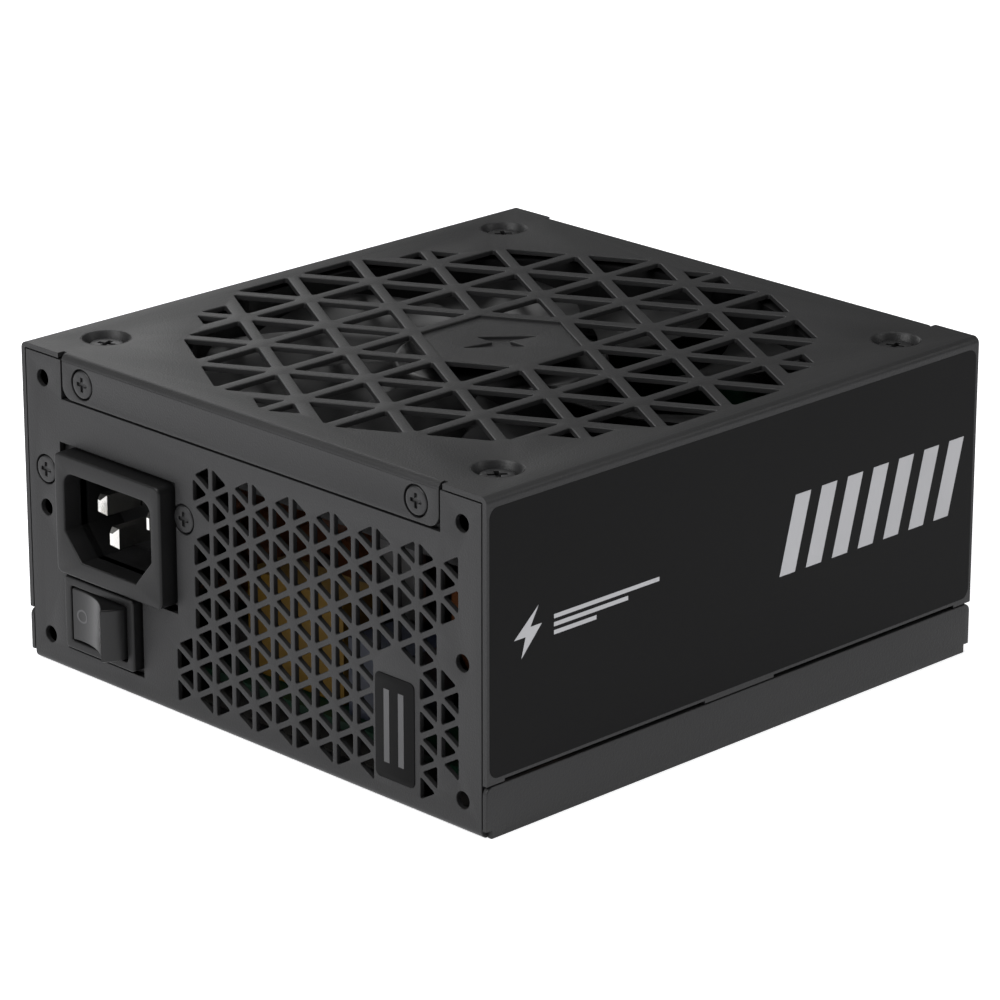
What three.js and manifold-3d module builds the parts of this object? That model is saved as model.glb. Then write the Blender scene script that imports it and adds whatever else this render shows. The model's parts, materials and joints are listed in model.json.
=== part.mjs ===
// A compact modular computer power supply: a folded steel case 125 x 130 x 63.5 mm with a
// fan grille on top, a mains inlet and rocker switch on the rear, and rows of output sockets
// on the front. Millimetres, +Z up, +Y towards the output sockets, origin at the middle of
// the case's underside.
import * as THREE from "three";
import { mergeVertices } from "three/addons/utils/BufferGeometryUtils.js";
import Module from "manifold-3d";

const wasm = await Module();
wasm.setup();

// ---- Driving dimensions ----
const CASE = { halfX: 62.5, halfY: 65, height: 63.5 };
const SHEET = 1.0;
const BEND_RADIUS = 1.3;
const BEND_STEPS = 3;
const LEG = 3;
const TRAY_LEG = 2;
const GAP = 0.3;
const GRID = 1 / 256;
const CLEANUP = 0.004;
const SEAM = { trayTop: 9.9, coverBottom: 10.2, reliefTop: 10.7 };
const COVER_FLANGE = { halfX: 50.7, bottom: 54.9, cornerRadius: 2.6, reliefWidth: 1.0, reliefDepth: 1.5 };
const COVER_SCREW = { x: 45, z: 58.7 };
const CUP = { mouth: 4.35, wall: 3.85, outer: 5.2, hole: 2.3, floor: 2.3, depth: 3.2, segments: 16 };
const MOUNTING_HOLES = { x: 56.5, z: [6, 31.75, 57.5], radius: 1.65 };

const GRILLE = { edge: 17.0, bar: 2.3, rings: 4, hubPlateDrop: 0.6 };
const VENT = { edge: 6.27, bar: 1.1, firstX: -14.6, topZ: 48.98, rows: 15, columns: 13, halfRow: 0.5 };

const INLET = { x: -35.5, z: 33.1, width: 30.2, height: 24.0, proud: 2.8 };
const SOCKET_MOUTH = { width: 24.8, height: 16.9, chamferX: 4.6, chamferZ: 5.3, radius: 2.5, depth: 13.6 };
const INLET_SCREWS = { x: [-56.3, -16.9], z: 39.4 };
const SWITCH = { x: -40.2, z: 12.95, width: 20.0, height: 14.5, proud: 1.5 };
const ROCKER = {
  openingWidth: 16.2,
  openingHeight: 11.1,
  halfHeight: 5.25,
  radius: 7.65,
  pivotDepth: 1.1,
  tipAngle: 26.3,
  tilt: 18,
  hollowRadius: 14.5,
  skirtAngle: 25,
};

const FAN = { half: 59.8, bottom: 46.6, top: 61.6, bore: 58.2, holeSpacing: 105, blades: 9 };
const HUB = { radius: 20.5, top: 60.2, bottom: 50.2, wall: 1.6 };
const BLADE = { tip: 56.8, chord: 34, sweep: 26, thickness: 1.3, low: 50.8, high: 59.4 };

const BOARD = { bottom: 6.0, top: 7.6, halfX: 57, front: 48, rear: -58, notchX: -20, notchY: -38 };
const BOARD_SCREWS = [[-52, -33], [52, -53], [-52, 43], [52, 43]];
const MODULAR_BOARD = { y0: 51.0, y1: 52.6 };
const OUTPUT = { pitch: 4.2, wall: 1.2, cavityHeight: 9.6, floor: 2.6, pinTop: 4.9, pinWidth: 1.2 };
const SOCKETS = [
  { name: "motherboard_socket_18pin", columns: 9, x: -34.5, z: 38.6 },
  { name: "motherboard_socket_10pin", columns: 5, x: 2.5, z: 38.6 },
  { name: "processor_socket_1", columns: 4, x: 29.0, z: 38.6 },
  { name: "processor_socket_2", columns: 4, x: -45.0, z: 24.6 },
  { name: "graphics_socket_1", columns: 4, x: -20.0, z: 24.6 },
  { name: "graphics_socket_2", columns: 4, x: 5.0, z: 24.6 },
  { name: "drive_socket_1", columns: 3, x: -47.0, z: 10.6 },
  { name: "drive_socket_2", columns: 3, x: -24.0, z: 10.6 },
  { name: "drive_socket_3", columns: 3, x: -1.0, z: 10.6 },
];

// ---- Materials ----
function material(color, roughness, metalness) {
  return new THREE.MeshStandardMaterial({ color, roughness, metalness });
}

const MATERIALS = {
  coatedSteel: material(0x2b2b2d, 0.6, 0.3),
  blackPlastic: material(0x1d1d1f, 0.45, 0),
  fanPlastic: material(0x141416, 0.4, 0),
  blackScrew: material(0x18181a, 0.4, 0.8),
  brightMetal: material(0xc9c9c6, 0.3, 1),
  aluminium: material(0xa9acb0, 0.45, 1),
  board: material(0x1d4a2c, 0.5, 0),
  insulation: material(0xe6e3d8, 0.6, 0),
  copper: material(0xa85f2c, 0.35, 0.9),
  ferrite: material(0x2a2c2f, 0.7, 0.1),
  capSleeve: material(0x22262e, 0.4, 0.1),
  filmYellow: material(0xd0a52a, 0.5, 0),
  tape: material(0xd9b23c, 0.5, 0),
  magnet: material(0x3a3a3c, 0.7, 0.3),
  bronze: material(0x9a7440, 0.45, 0.9),
};

// ---- Solids ----
// A closed three.js geometry as a solid that can be joined and cut. Its corners sit on a
// fine grid, so faces that should share a plane do so exactly.
function solid(geometry) {
  const plain = geometry.clone();
  plain.deleteAttribute("normal");
  plain.deleteAttribute("uv");
  const coordinates = plain.attributes.position.array;
  for (let i = 0; i < coordinates.length; i++) {
    coordinates[i] = Math.round(coordinates[i] / GRID) * GRID;
  }
  const merged = mergeVertices(plain, 1e-4);
  return new wasm.Manifold(
    new wasm.Mesh({
      numProp: 3,
      vertProperties: new Float32Array(merged.attributes.position.array),
      triVerts: new Uint32Array(merged.index.array),
    }),
  );
}

function joined(solids) {
  return solids.reduce((whole, next) => whole.add(next));
}

function without(body, cuts) {
  return cuts.reduce((rest, cut) => rest.subtract(cut), body);
}

function part(name, body, look) {
  const mesh = body.simplify(CLEANUP).getMesh();
  const geometry = new THREE.BufferGeometry();
  geometry.setAttribute("position", new THREE.BufferAttribute(mesh.vertProperties, 3));
  geometry.setIndex(new THREE.BufferAttribute(mesh.triVerts, 1));
  geometry.computeVertexNormals();
  const node = new THREE.Mesh(geometry, look);
  node.name = name;
  return node;
}

function box(x0, x1, y0, y1, z0, z1) {
  const geometry = new THREE.BoxGeometry(x1 - x0, y1 - y0, z1 - z0);
  geometry.translate((x0 + x1) / 2, (y0 + y1) / 2, (z0 + z1) / 2);
  return solid(geometry);
}

// Frames for extrusions: the shape's two directions, and the direction of the depth.
const ALONG_X = new THREE.Matrix4().makeBasis(
  new THREE.Vector3(0, 1, 0), new THREE.Vector3(0, 0, 1), new THREE.Vector3(1, 0, 0));
const AGAINST_Y = new THREE.Matrix4().makeBasis(
  new THREE.Vector3(1, 0, 0), new THREE.Vector3(0, 0, 1), new THREE.Vector3(0, -1, 0));

function extruded(shape, depth, curveSegments = 6) {
  return new THREE.ExtrudeGeometry(shape, { depth, bevelEnabled: false, curveSegments });
}

// A shape drawn in X and Z, thick from y0 to y1.
function wallY(shape, y0, y1, curveSegments) {
  const geometry = extruded(shape, y1 - y0, curveSegments).applyMatrix4(AGAINST_Y);
  return solid(geometry.translate(0, y1, 0));
}

// A shape drawn in Y and Z, thick from x0 to x1.
function wallX(shape, x0, x1, curveSegments) {
  const geometry = extruded(shape, x1 - x0, curveSegments).applyMatrix4(ALONG_X);
  return solid(geometry.translate(x0, 0, 0));
}

// A shape drawn in X and Y, thick from z0 to z1.
function slab(shape, z0, z1, curveSegments) {
  return solid(extruded(shape, z1 - z0, curveSegments).translate(0, 0, z0));
}

function polygon(points) {
  return new THREE.Shape(points.map(([u, v]) => new THREE.Vector2(u, v)));
}

// A rectangle whose corners are rounded in a few straight steps.
function roundedRect(u0, u1, v0, v1, radius, steps = 2) {
  const corners = [
    [u1 - radius, v0 + radius, -Math.PI / 2],
    [u1 - radius, v1 - radius, 0],
    [u0 + radius, v1 - radius, Math.PI / 2],
    [u0 + radius, v0 + radius, Math.PI],
  ];
  const points = corners.flatMap(([u, v, start]) =>
    Array.from({ length: steps + 1 }, (_, i) => {
      const angle = start + ((Math.PI / 2) * i) / steps;
      return [u + radius * Math.cos(angle), v + radius * Math.sin(angle)];
    }));
  return polygon(points);
}

function circle(u, v, radius) {
  const shape = new THREE.Shape();
  shape.absarc(u, v, radius, 0, Math.PI * 2);
  return shape;
}

// A turned piece about the line through (x, y), from [radius, z] points.
function turned(points, segments, x = 0, y = 0) {
  const profile = points.map(([r, z]) => new THREE.Vector2(r, z));
  const geometry = new THREE.LatheGeometry(profile, segments);
  return solid(geometry.rotateX(Math.PI / 2).translate(x, y, 0));
}

function post(x, y, radius, z0, z1, segments = 16) {
  return turned([[0, z0], [radius, z0], [radius, z1], [0, z1]], segments, x, y);
}

// The L-shaped section of a folded sheet. Its outer corner is at (u, v) and its two legs
// run towards +u or -u and +v or -v.
function foldedSection(u, v, towardU, towardV, lengthU, lengthV) {
  const at = (a, b) => [u + towardU * a, v + towardV * b];
  const bend = (radius, back) =>
    Array.from({ length: BEND_STEPS + 1 }, (_, i) => {
      const angle = (Math.PI / 2) * ((back ? BEND_STEPS - i : i) / BEND_STEPS);
      return at(BEND_RADIUS - radius * Math.sin(angle), BEND_RADIUS - radius * Math.cos(angle));
    });
  return polygon([
    at(lengthU, 0),
    ...bend(BEND_RADIUS, false),
    at(0, lengthV),
    at(SHEET, lengthV),
    ...bend(BEND_RADIUS - SHEET, true),
    at(lengthU, SHEET),
  ]);
}

// ---- Triangle lattices ----
// A lattice triangle with its straight edge parallel to the second direction. It points
// towards +u (side = 1) or -u (side = -1), and its bars take half their width off each edge.
function latticeTriangle(apexU, apexV, side, edge, bar) {
  const height = (edge * Math.sqrt(3)) / 2;
  const apexInset = bar;
  const baseInset = bar / 2;
  const halfBase = ((height - apexInset - baseInset) / height) * (edge / 2);
  const baseU = apexU - side * (height - baseInset);
  return [
    [apexU - side * apexInset, apexV],
    [baseU, apexV + halfBase],
    [baseU, apexV - halfBase],
  ];
}

function trianglePath(points) {
  return new THREE.Path(points.map(([u, v]) => new THREE.Vector2(u, v)));
}

// The fan grille: rings of triangles around a closed middle hexagon. Beyond the third ring
// only the five triangles behind each corner direction, and clipped ones beside the other
// corners, stay open, which brings the outline close to a circle.
function grilleTriangles() {
  const { edge, bar, rings } = GRILLE;
  const column = (edge * Math.sqrt(3)) / 2;
  const holes = [];
  for (let k = -rings; k < rings; k++) {
    for (let row = -2 * rings; row <= 2 * rings; row++) {
      const v = (row * edge) / 2;
      const pointsLeft = (k + row) % 2 === 0;
      const apexU = (pointsLeft ? k : k + 1) * column;
      const side = pointsLeft ? -1 : 1;
      const centreU = (k + 0.5) * column + (pointsLeft ? 1 : -1) * (column / 6);
      if (grilleIsOpen(centreU, v, column)) {
        holes.push(latticeTriangle(apexU, v, side, edge, bar));
      }
    }
  }
  return holes;
}

function grilleIsOpen(u, v, column) {
  const rings = [0, 1, 2].map((turn) => {
    const angle = (turn * Math.PI) / 3;
    return Math.abs(u * Math.cos(angle) + v * Math.sin(angle)) / column;
  });
  const ring = Math.ceil(Math.max(...rings));
  const nearCorner = Math.abs(((Math.atan2(v, u) / (Math.PI / 3) + 0.5) % 1 + 1) % 1 - 0.5) > 0.36;
  return ring > 1 && (ring < GRILLE.rings || (ring === GRILLE.rings && !nearCorner));
}

// The small clipped triangles in the six corner directions of the grille.
function grilleCornerTriangles() {
  const { edge, bar } = GRILLE;
  const small = [[bar / 2, 3.15 * edge], [bar / 2, 3.52 * edge], [6.3, 3.335 * edge]];
  const holes = [];
  for (let turn = 0; turn < 6; turn++) {
    for (const mirror of [1, -1]) {
      const points = small.map(([u, v]) => {
        const spun = new THREE.Vector2(mirror * u, v).rotateAround(new THREE.Vector2(), (turn * Math.PI) / 3);
        return [spun.x, spun.y];
      });
      holes.push(points);
    }
  }
  return holes;
}

// The rear vents: a fine lattice over the right-hand part of the panel, left closed beside
// the inlet, behind the badge and around the mounting holes.
function ventIsOpen(column, row) {
  const besideInlet = column < 0 ? row < 11 : column === 0 && row === 3;
  const behindBadge = (column === 9 || column === 10) && row > 6;
  const atMountingHole = column === 12 && ((row > 3 && row < 7) || row > 12);
  return !(besideInlet || behindBadge || atMountingHole);
}

function ventTriangles() {
  const { edge, bar, firstX, topZ, rows, columns, halfRow } = VENT;
  const step = (edge * Math.sqrt(3)) / 2;
  const holes = [];
  for (let column = -1; column < columns; column++) {
    for (let row = 0; row < rows; row++) {
      if (!ventIsOpen(column, row)) continue;
      const pointsLeft = (column + row) % 2 === 0;
      const apexX = firstX + (pointsLeft ? column : column + 1) * step;
      const z = topZ - row * halfRow * edge;
      holes.push(latticeTriangle(apexX, z, pointsLeft ? -1 : 1, edge, bar));
    }
  }
  return holes;
}

// ---- The case ----
// One end wall of the tray: a flat panel with a bend at its foot, and a tab set back behind
// the cover's flange.
function trayEnd(side, holes) {
  const halfX = CASE.halfX - SHEET - GAP;
  const flangeX = COVER_FLANGE.halfX + 0.4;
  const flangeZ = COVER_FLANGE.bottom - 0.4;
  const top = CASE.height - SHEET - GAP;
  const outline = polygon([
    [-halfX, TRAY_LEG], [halfX, TRAY_LEG], [halfX, top], [flangeX, top],
    [flangeX, flangeZ], [-flangeX, flangeZ], [-flangeX, top], [-halfX, top],
  ]);
  outline.holes.push(...holes);
  const outer = side * CASE.halfY;
  const inner = side * (CASE.halfY - SHEET);
  const back = side * (CASE.halfY - 2 * SHEET - GAP);
  const tabFront = side * (CASE.halfY - SHEET - GAP);
  const low = (a, b) => [Math.min(a, b), Math.max(a, b)];
  const tabX = COVER_FLANGE.halfX - 0.7;
  const tabHoles = [-1, 1].map((s) => circle(s * COVER_SCREW.x, COVER_SCREW.z, 1.8));
  const tabFoot = flangeZ - 1.2;
  const tab = polygon([[-tabX, tabFoot], [tabX, tabFoot], [tabX, top], [-tabX, top]]);
  tab.holes.push(...tabHoles);
  return joined([
    wallY(outline, ...low(outer, inner), 4),
    wallY(tab, ...low(tabFront, back), 4),
    box(-tabX, tabX, ...low(inner, tabFront), tabFoot, flangeZ),
    wallX(foldedSection(outer, 0, -side, 1, LEG, TRAY_LEG), -halfX, halfX),
  ]);
}

// One low side wall of the tray, with a tongue that reaches up behind the cover.
function traySide(side) {
  const { halfX, halfY } = CASE;
  const endStep = { z: 1.6, y: 1.3 };
  const low = (a, b) => [Math.min(a, b), Math.max(a, b)];
  const wall = new THREE.Shape();
  const radius = 1.5;
  wall.moveTo(-halfY, endStep.z);
  wall.lineTo(halfY, endStep.z);
  wall.absarc(halfY - radius, SEAM.trayTop - radius, radius, 0, Math.PI / 2);
  wall.absarc(-halfY + radius, SEAM.trayTop - radius, radius, Math.PI / 2, Math.PI);
  const outer = side * halfX;
  const tongueX = low(side * (halfX - 2 * SHEET - GAP), side * (halfX - SHEET - GAP));
  const bridgeX = low(side * (halfX - SHEET - GAP), side * (halfX - SHEET));
  const end = halfY - endStep.y;
  return joined([
    box(...low(outer, outer - side * SHEET), -end, end, 0, endStep.z),
    wallX(wall, ...low(outer, outer - side * SHEET), 3),
    box(...bridgeX, -9.2, 8.8, 7.2, 8.8),
    box(...tongueX, -9.2, 8.8, 7.2, 16),
  ]);
}

function standoff(x, y) {
  const height = BOARD.bottom - GAP;
  return turned([[1.5, SHEET - 0.5], [3.2, SHEET - 0.5], [3.2, height], [1.5, height], [1.5, SHEET - 0.5]], 12, x, y);
}

function rearPanelHoles() {
  const holes = ventTriangles().map(trianglePath);
  for (const x of [-MOUNTING_HOLES.x, MOUNTING_HOLES.x]) {
    for (const z of MOUNTING_HOLES.z) {
      holes.push(circle(x, z, MOUNTING_HOLES.radius));
    }
  }
  const inletX = { low: INLET.x - 16.5, high: INLET.x + 16.45 };
  const inletZ = { low: 20.3, high: 45.9 };
  const switchX = { low: SWITCH.x - 11, high: SWITCH.x + 11 };
  const switchLow = SWITCH.z - 8.25;
  holes.push(polygon([
    [switchX.low, switchLow], [switchX.high, switchLow], [switchX.high, inletZ.low],
    [inletX.high, inletZ.low], [inletX.high, inletZ.high], [inletX.low, inletZ.high],
    [inletX.low, inletZ.low], [switchX.low, inletZ.low],
  ]));
  return holes;
}

function socketSize(socket) {
  return {
    width: socket.columns * OUTPUT.pitch + 1.2 + 2 * OUTPUT.wall,
    height: OUTPUT.cavityHeight + 2 * OUTPUT.wall,
  };
}

function frontPanelHoles() {
  return SOCKETS.map((socket) => {
    const { width, height } = socketSize(socket);
    const halfX = width / 2 + GAP;
    const halfZ = height / 2 + GAP;
    return roundedRect(socket.x - halfX, socket.x + halfX, socket.z - halfZ, socket.z + halfZ, 0.6, 1);
  });
}

// The hole for a countersunk screw whose head is flush with the face at y.
function countersink(x, z, y, inward) {
  const head = [[0, -0.5], [3.25, -0.5], [3.05, 0], [1.8, 1.25], [1.8, 6], [0, 6]];
  const profile = head.map(([r, depth]) => new THREE.Vector2(r, depth));
  const geometry = new THREE.LatheGeometry(profile, 12);
  if (inward < 0) geometry.rotateX(Math.PI);
  return solid(geometry.translate(x, y, z));
}

function bottomTray() {
  const rear = trayEnd(-1, rearPanelHoles());
  const front = trayEnd(1, frontPanelHoles());
  const floorX = CASE.halfX - SHEET;
  const floorY = CASE.halfY - LEG;
  const floor = box(-floorX, floorX, -floorY, floorY, 0, SHEET);
  const body = joined([
    floor, rear, front, traySide(-1), traySide(1),
    ...BOARD_SCREWS.map(([x, y]) => standoff(x, y)),
  ]);
  return without(body, INLET_SCREWS.x.map((x) => countersink(x, INLET_SCREWS.z, -CASE.halfY, 1)));
}

// The cover's top sheet, with its grille. Its two ends stop short where the end flanges
// fold down.
function coverTopSheet() {
  const halfX = CASE.halfX - LEG;
  const { halfY } = CASE;
  const reliefX = COVER_FLANGE.halfX + COVER_FLANGE.reliefWidth;
  const reliefY = halfY - COVER_FLANGE.reliefDepth;
  const outline = polygon([
    [-halfX, -halfY], [-reliefX, -halfY], [-reliefX, -reliefY], [reliefX, -reliefY],
    [reliefX, -halfY], [halfX, -halfY], [halfX, halfY], [reliefX, halfY],
    [reliefX, reliefY], [-reliefX, reliefY], [-reliefX, halfY], [-halfX, halfY],
  ]);
  outline.holes.push(...grilleTriangles().map(trianglePath), ...grilleCornerTriangles().map(trianglePath));
  return slab(outline, CASE.height - SHEET, CASE.height);
}

function fanScrewPlaces() {
  const half = FAN.holeSpacing / 2;
  return [[-half, -half], [half, -half], [-half, half], [half, half]];
}

// A cup pressed down into the top sheet, whose floor takes a fan screw: its outside, and
// the room inside it.
function cupOutside([x, y]) {
  const top = CASE.height;
  const low = top - CUP.depth;
  return turned([[0, low], [4.7, low], [CUP.outer, top - 1.5], [CUP.outer, top - 0.5], [0, top - 0.5]],
    CUP.segments, x, y);
}

function cupRoom([x, y]) {
  const top = CASE.height;
  const floor = top - CUP.floor;
  const low = top - CUP.depth - 1;
  return turned([
    [0, low], [CUP.hole, low], [CUP.hole, floor], [CUP.wall, floor], [CUP.mouth, top],
    [CUP.mouth + 0.6, top + 1], [0, top + 1],
  ], CUP.segments, x, y);
}

// One long side of the cover. Its lower edge is raised along two stretches, with a short
// upright slot at the outer end of each.
function coverSide(side) {
  const { halfX, halfY, height } = CASE;
  const outer = side * halfX;
  const sheet = wallY(
    foldedSection(outer, height, -side, -1, LEG, height - SEAM.coverBottom), -halfY, halfY);
  const x0 = Math.min(outer, outer - side * SHEET) - 0.5;
  const x1 = x0 + SHEET + 1;
  const raised = [[-60, -9.5], [9, 59.5]];
  const slots = [[-60.6, -59.6], [59.1, 60.1]];
  const cuts = [
    ...raised.map(([y0, y1]) => box(x0, x1, y0, y1, SEAM.coverBottom - 1, SEAM.reliefTop)),
    ...slots.map(([y0, y1]) => box(x0, x1, y0, y1, SEAM.coverBottom - 1, 11.6)),
  ];
  return without(sheet, cuts);
}

// One end flange of the cover, folded down over the tray's end wall.
function coverFlange(side) {
  const { halfX, bottom, cornerRadius } = COVER_FLANGE;
  const outer = side * CASE.halfY;
  const fold = wallX(
    foldedSection(outer, CASE.height, -side, -1, LEG, LEG), -halfX, halfX);
  const face = new THREE.Shape();
  face.moveTo(-halfX, CASE.height - LEG + 0.5);
  face.absarc(-halfX + cornerRadius, bottom + cornerRadius, cornerRadius, Math.PI, Math.PI * 1.5);
  face.absarc(halfX - cornerRadius, bottom + cornerRadius, cornerRadius, -Math.PI / 2, 0);
  face.lineTo(halfX, CASE.height - LEG + 0.5);
  const y = [outer, outer - side * SHEET].sort((a, b) => a - b);
  return without(joined([fold, wallY(face, ...y, 4)]),
    [-1, 1].map((s) => countersink(s * COVER_SCREW.x, COVER_SCREW.z, outer, -side)));
}

function hexagon(apothem) {
  const radius = (2 * apothem) / Math.sqrt(3);
  const corners = Array.from({ length: 6 }, (_, i) => {
    const angle = Math.PI / 6 + (i * Math.PI) / 3;
    return [radius * Math.cos(angle), radius * Math.sin(angle)];
  });
  return polygon(corners);
}

// A plain lightning bolt, sunk into the middle hexagon.
function boltEmblem() {
  return polygon([[2.6, 8.2], [-5.4, -1.2], [-0.9, -1.2], [-2.6, -8.2], [5.4, 1.4], [0.9, 1.4]]);
}

function topCover() {
  const top = CASE.height;
  const plateTop = top - GRILLE.hubPlateDrop;
  const inside = (GRILLE.edge * Math.sqrt(3)) / 2 - GRILLE.bar / 2;
  const body = joined([
    coverTopSheet(), coverSide(-1), coverSide(1), coverFlange(-1), coverFlange(1),
    slab(hexagon(inside + 0.9), plateTop - SHEET, plateTop),
    ...fanScrewPlaces().map(cupOutside),
  ]);
  return without(body, [
    ...fanScrewPlaces().map(cupRoom),
    slab(hexagon(inside), plateTop, top + 1),
    slab(boltEmblem(), plateTop - 0.4, plateTop + 0.2),
  ]);
}

// ---- Fasteners ----
function crossRecess(length, width, z0, z1) {
  return [
    box(-length / 2, length / 2, -width / 2, width / 2, z0, z1),
    box(-width / 2, width / 2, -length / 2, length / 2, z0, z1),
  ];
}

// A screw along +Z with its head's top at z = 0 and its shank below.
function screw(profile, recess) {
  return without(turned(profile, 12), crossRecess(...recess));
}

function countersunkScrew(name, x, z, side) {
  const body = screw([[0, -4.2], [1.45, -4.2], [1.45, -1.25], [2.7, 0], [0, 0]], [2.8, 0.8, -0.9, 0.5]);
  const node = part(name, body, MATERIALS.blackScrew);
  node.rotation.x = (-side * Math.PI) / 2;
  node.position.set(x, side * CASE.halfY, z);
  return node;
}

function fanScrew(name, x, y) {
  const top = CASE.height - 1.1;
  const body = screw(
    [[0, -9.5], [1.2, -9.5], [1.9, -8.3], [1.9, -0.9], [3.4, -0.9], [3.4, -0.45], [2.6, 0], [0, 0]],
    [3.8, 1.0, -0.7, 0.5]);
  const node = part(name, body, MATERIALS.blackScrew);
  node.position.set(x, y, top);
  return node;
}

function boardScrew(name, x, y) {
  const body = screw(
    [[0, -6.2], [1.15, -6.2], [1.15, -1.6], [2.7, -1.6], [2.7, -0.6], [2.1, 0], [0, 0]],
    [3.0, 0.8, -1.0, 0.5]);
  const node = part(name, body, MATERIALS.brightMetal);
  node.position.set(x, y, BOARD.top + GAP + 1.6);
  return node;
}

function fasteners() {
  const fanNames = ["rear_left", "rear_right", "front_left", "front_right"];
  return [
    countersunkScrew("cover_screw_rear_left", -COVER_SCREW.x, COVER_SCREW.z, -1),
    countersunkScrew("cover_screw_rear_right", COVER_SCREW.x, COVER_SCREW.z, -1),
    countersunkScrew("cover_screw_front_left", -COVER_SCREW.x, COVER_SCREW.z, 1),
    countersunkScrew("cover_screw_front_right", COVER_SCREW.x, COVER_SCREW.z, 1),
    countersunkScrew("inlet_screw_left", INLET_SCREWS.x[0], INLET_SCREWS.z, -1),
    countersunkScrew("inlet_screw_right", INLET_SCREWS.x[1], INLET_SCREWS.z, -1),
    ...fanScrewPlaces().map(([x, y], i) => fanScrew(`fan_screw_${fanNames[i]}`, x, y)),
    ...BOARD_SCREWS.map(([x, y], i) => boardScrew(`board_screw_${i + 1}`, x, y)),
  ];
}

// ---- Mains inlet ----
const FLANGE_Y = { front: -63.7, back: -62.2 };

function inletMouth() {
  const { width, height, chamferX, chamferZ, radius } = SOCKET_MOUTH;
  const [u0, u1] = [INLET.x - width / 2, INLET.x + width / 2];
  const [v0, v1] = [INLET.z - height / 2, INLET.z + height / 2];
  const shape = new THREE.Shape();
  shape.moveTo(u0 + chamferX, v0);
  shape.lineTo(u1 - chamferX, v0);
  shape.lineTo(u1, v0 + chamferZ);
  shape.absarc(u1 - radius, v1 - radius, radius, 0, Math.PI / 2);
  shape.absarc(u0 + radius, v1 - radius, radius, Math.PI / 2, Math.PI);
  shape.lineTo(u0, v0 + chamferZ);
  return shape;
}

const PINS = [
  { name: "inlet_pin_line", x: -7, z: 2.1, tip: -63.7 },
  { name: "inlet_pin_neutral", x: 7, z: 2.1, tip: -63.7 },
  { name: "inlet_pin_earth", x: 0, z: -1.95, tip: -66.8 },
];
const PIN = { width: 2, height: 4, taper: 1.1, back: -40.5 };

function inletHousing() {
  const { x, z, width, height, proud } = INLET;
  const front = -CASE.halfY - proud;
  const nose = roundedRect(x - width / 2, x + width / 2, z - height / 2, z + height / 2, 1.5);
  const flange = roundedRect(-53.6, -17.6, 21.25, 45.6, 1.2);
  const ears = roundedRect(-60.2, -14.2, 35.6, 43.4, 1.2);
  const core = roundedRect(x - 14, x + 14, z - 10.4, z + 10.4, 1.5);
  const body = joined([
    wallY(nose, front, FLANGE_Y.back, 3),
    wallY(flange, FLANGE_Y.front, FLANGE_Y.back, 3),
    wallY(ears, FLANGE_Y.front, FLANGE_Y.back, 3),
    wallY(core, FLANGE_Y.front, -48, 3),
  ]);
  const cuts = [
    wallY(inletMouth(), front - 1, front + SOCKET_MOUTH.depth, 4),
    ...INLET_SCREWS.x.map((sx) => wallY(circle(sx, INLET_SCREWS.z, 1.8), -64, -62, 4)),
    ...PINS.map((pin) => pinRoom(pin)),
  ];
  return part("inlet_housing", without(body, cuts), MATERIALS.blackPlastic);
}

function pinRoom(pin) {
  const halfX = PIN.width / 2 + GAP;
  const halfZ = PIN.height / 2 + GAP;
  const x = INLET.x + pin.x;
  const z = INLET.z + pin.z;
  return box(x - halfX, x + halfX, -56, -47, z - halfZ, z + halfZ);
}

// A flat contact blade with a tapered tip. It runs back through the housing to its tab.
function inletPin(pin) {
  const length = PIN.back - pin.tip;
  const geometry = new THREE.BoxGeometry(PIN.width, length, PIN.height, 1, 4, 1);
  const position = geometry.attributes.position;
  for (let i = 0; i < position.count; i++) {
    const step = Math.round((position.getY(i) / length + 0.5) * 4);
    if (step === 0) {
      position.setX(i, position.getX(i) * 0.35);
      position.setZ(i, position.getZ(i) * 0.58);
    }
    if (step === 1) position.setY(i, -length / 2 + PIN.taper);
  }
  const node = part(pin.name, solid(geometry), MATERIALS.brightMetal);
  node.position.set(INLET.x + pin.x, pin.tip + length / 2, INLET.z + pin.z);
  return node;
}

// ---- Rocker switch ----
const SWITCH_FRONT = -CASE.halfY - SWITCH.proud;
const PIVOT = { x: SWITCH.x, y: SWITCH_FRONT + ROCKER.pivotDepth, z: SWITCH.z };
const TRUNNION = { radius: 0.6, reach: 0.65 };

function switchHousing() {
  const { x, z, width, height } = SWITCH;
  const bezel = roundedRect(x - width / 2, x + width / 2, z - height / 2, z + height / 2, 0.8);
  const flange = roundedRect(x - 13.2, x + 13.2, 3.4, 20.8, 0.8);
  const core = roundedRect(x - 9.4, x + 9.4, z - 6.6, z + 6.6, 0.6);
  const halfU = ROCKER.openingWidth / 2;
  const halfV = ROCKER.openingHeight / 2;
  const opening = roundedRect(x - halfU, x + halfU, z - halfV, z + halfV, 0.4);
  const body = joined([
    wallY(bezel, SWITCH_FRONT, FLANGE_Y.back, 3),
    wallY(flange, FLANGE_Y.front, FLANGE_Y.back, 3),
    wallY(core, FLANGE_Y.front, -50, 3),
  ]);
  const room = halfV + TRUNNION.reach + GAP;
  const cuts = [
    wallY(opening, SWITCH_FRONT - 1, -56, 3),
    post(PIVOT.x, PIVOT.y, TRUNNION.radius + GAP, z - room, z + room, 8),
    ...switchTabPlaces().map((tx) => box(tx - 0.7, tx + 0.7, -57, -49, z - 2.7, z + 2.7)),
  ];
  return part("switch_housing", without(body, cuts), MATERIALS.blackPlastic);
}

function switchTabPlaces() {
  return [SWITCH.x - 4.5, SWITCH.x + 4.5];
}

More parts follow.
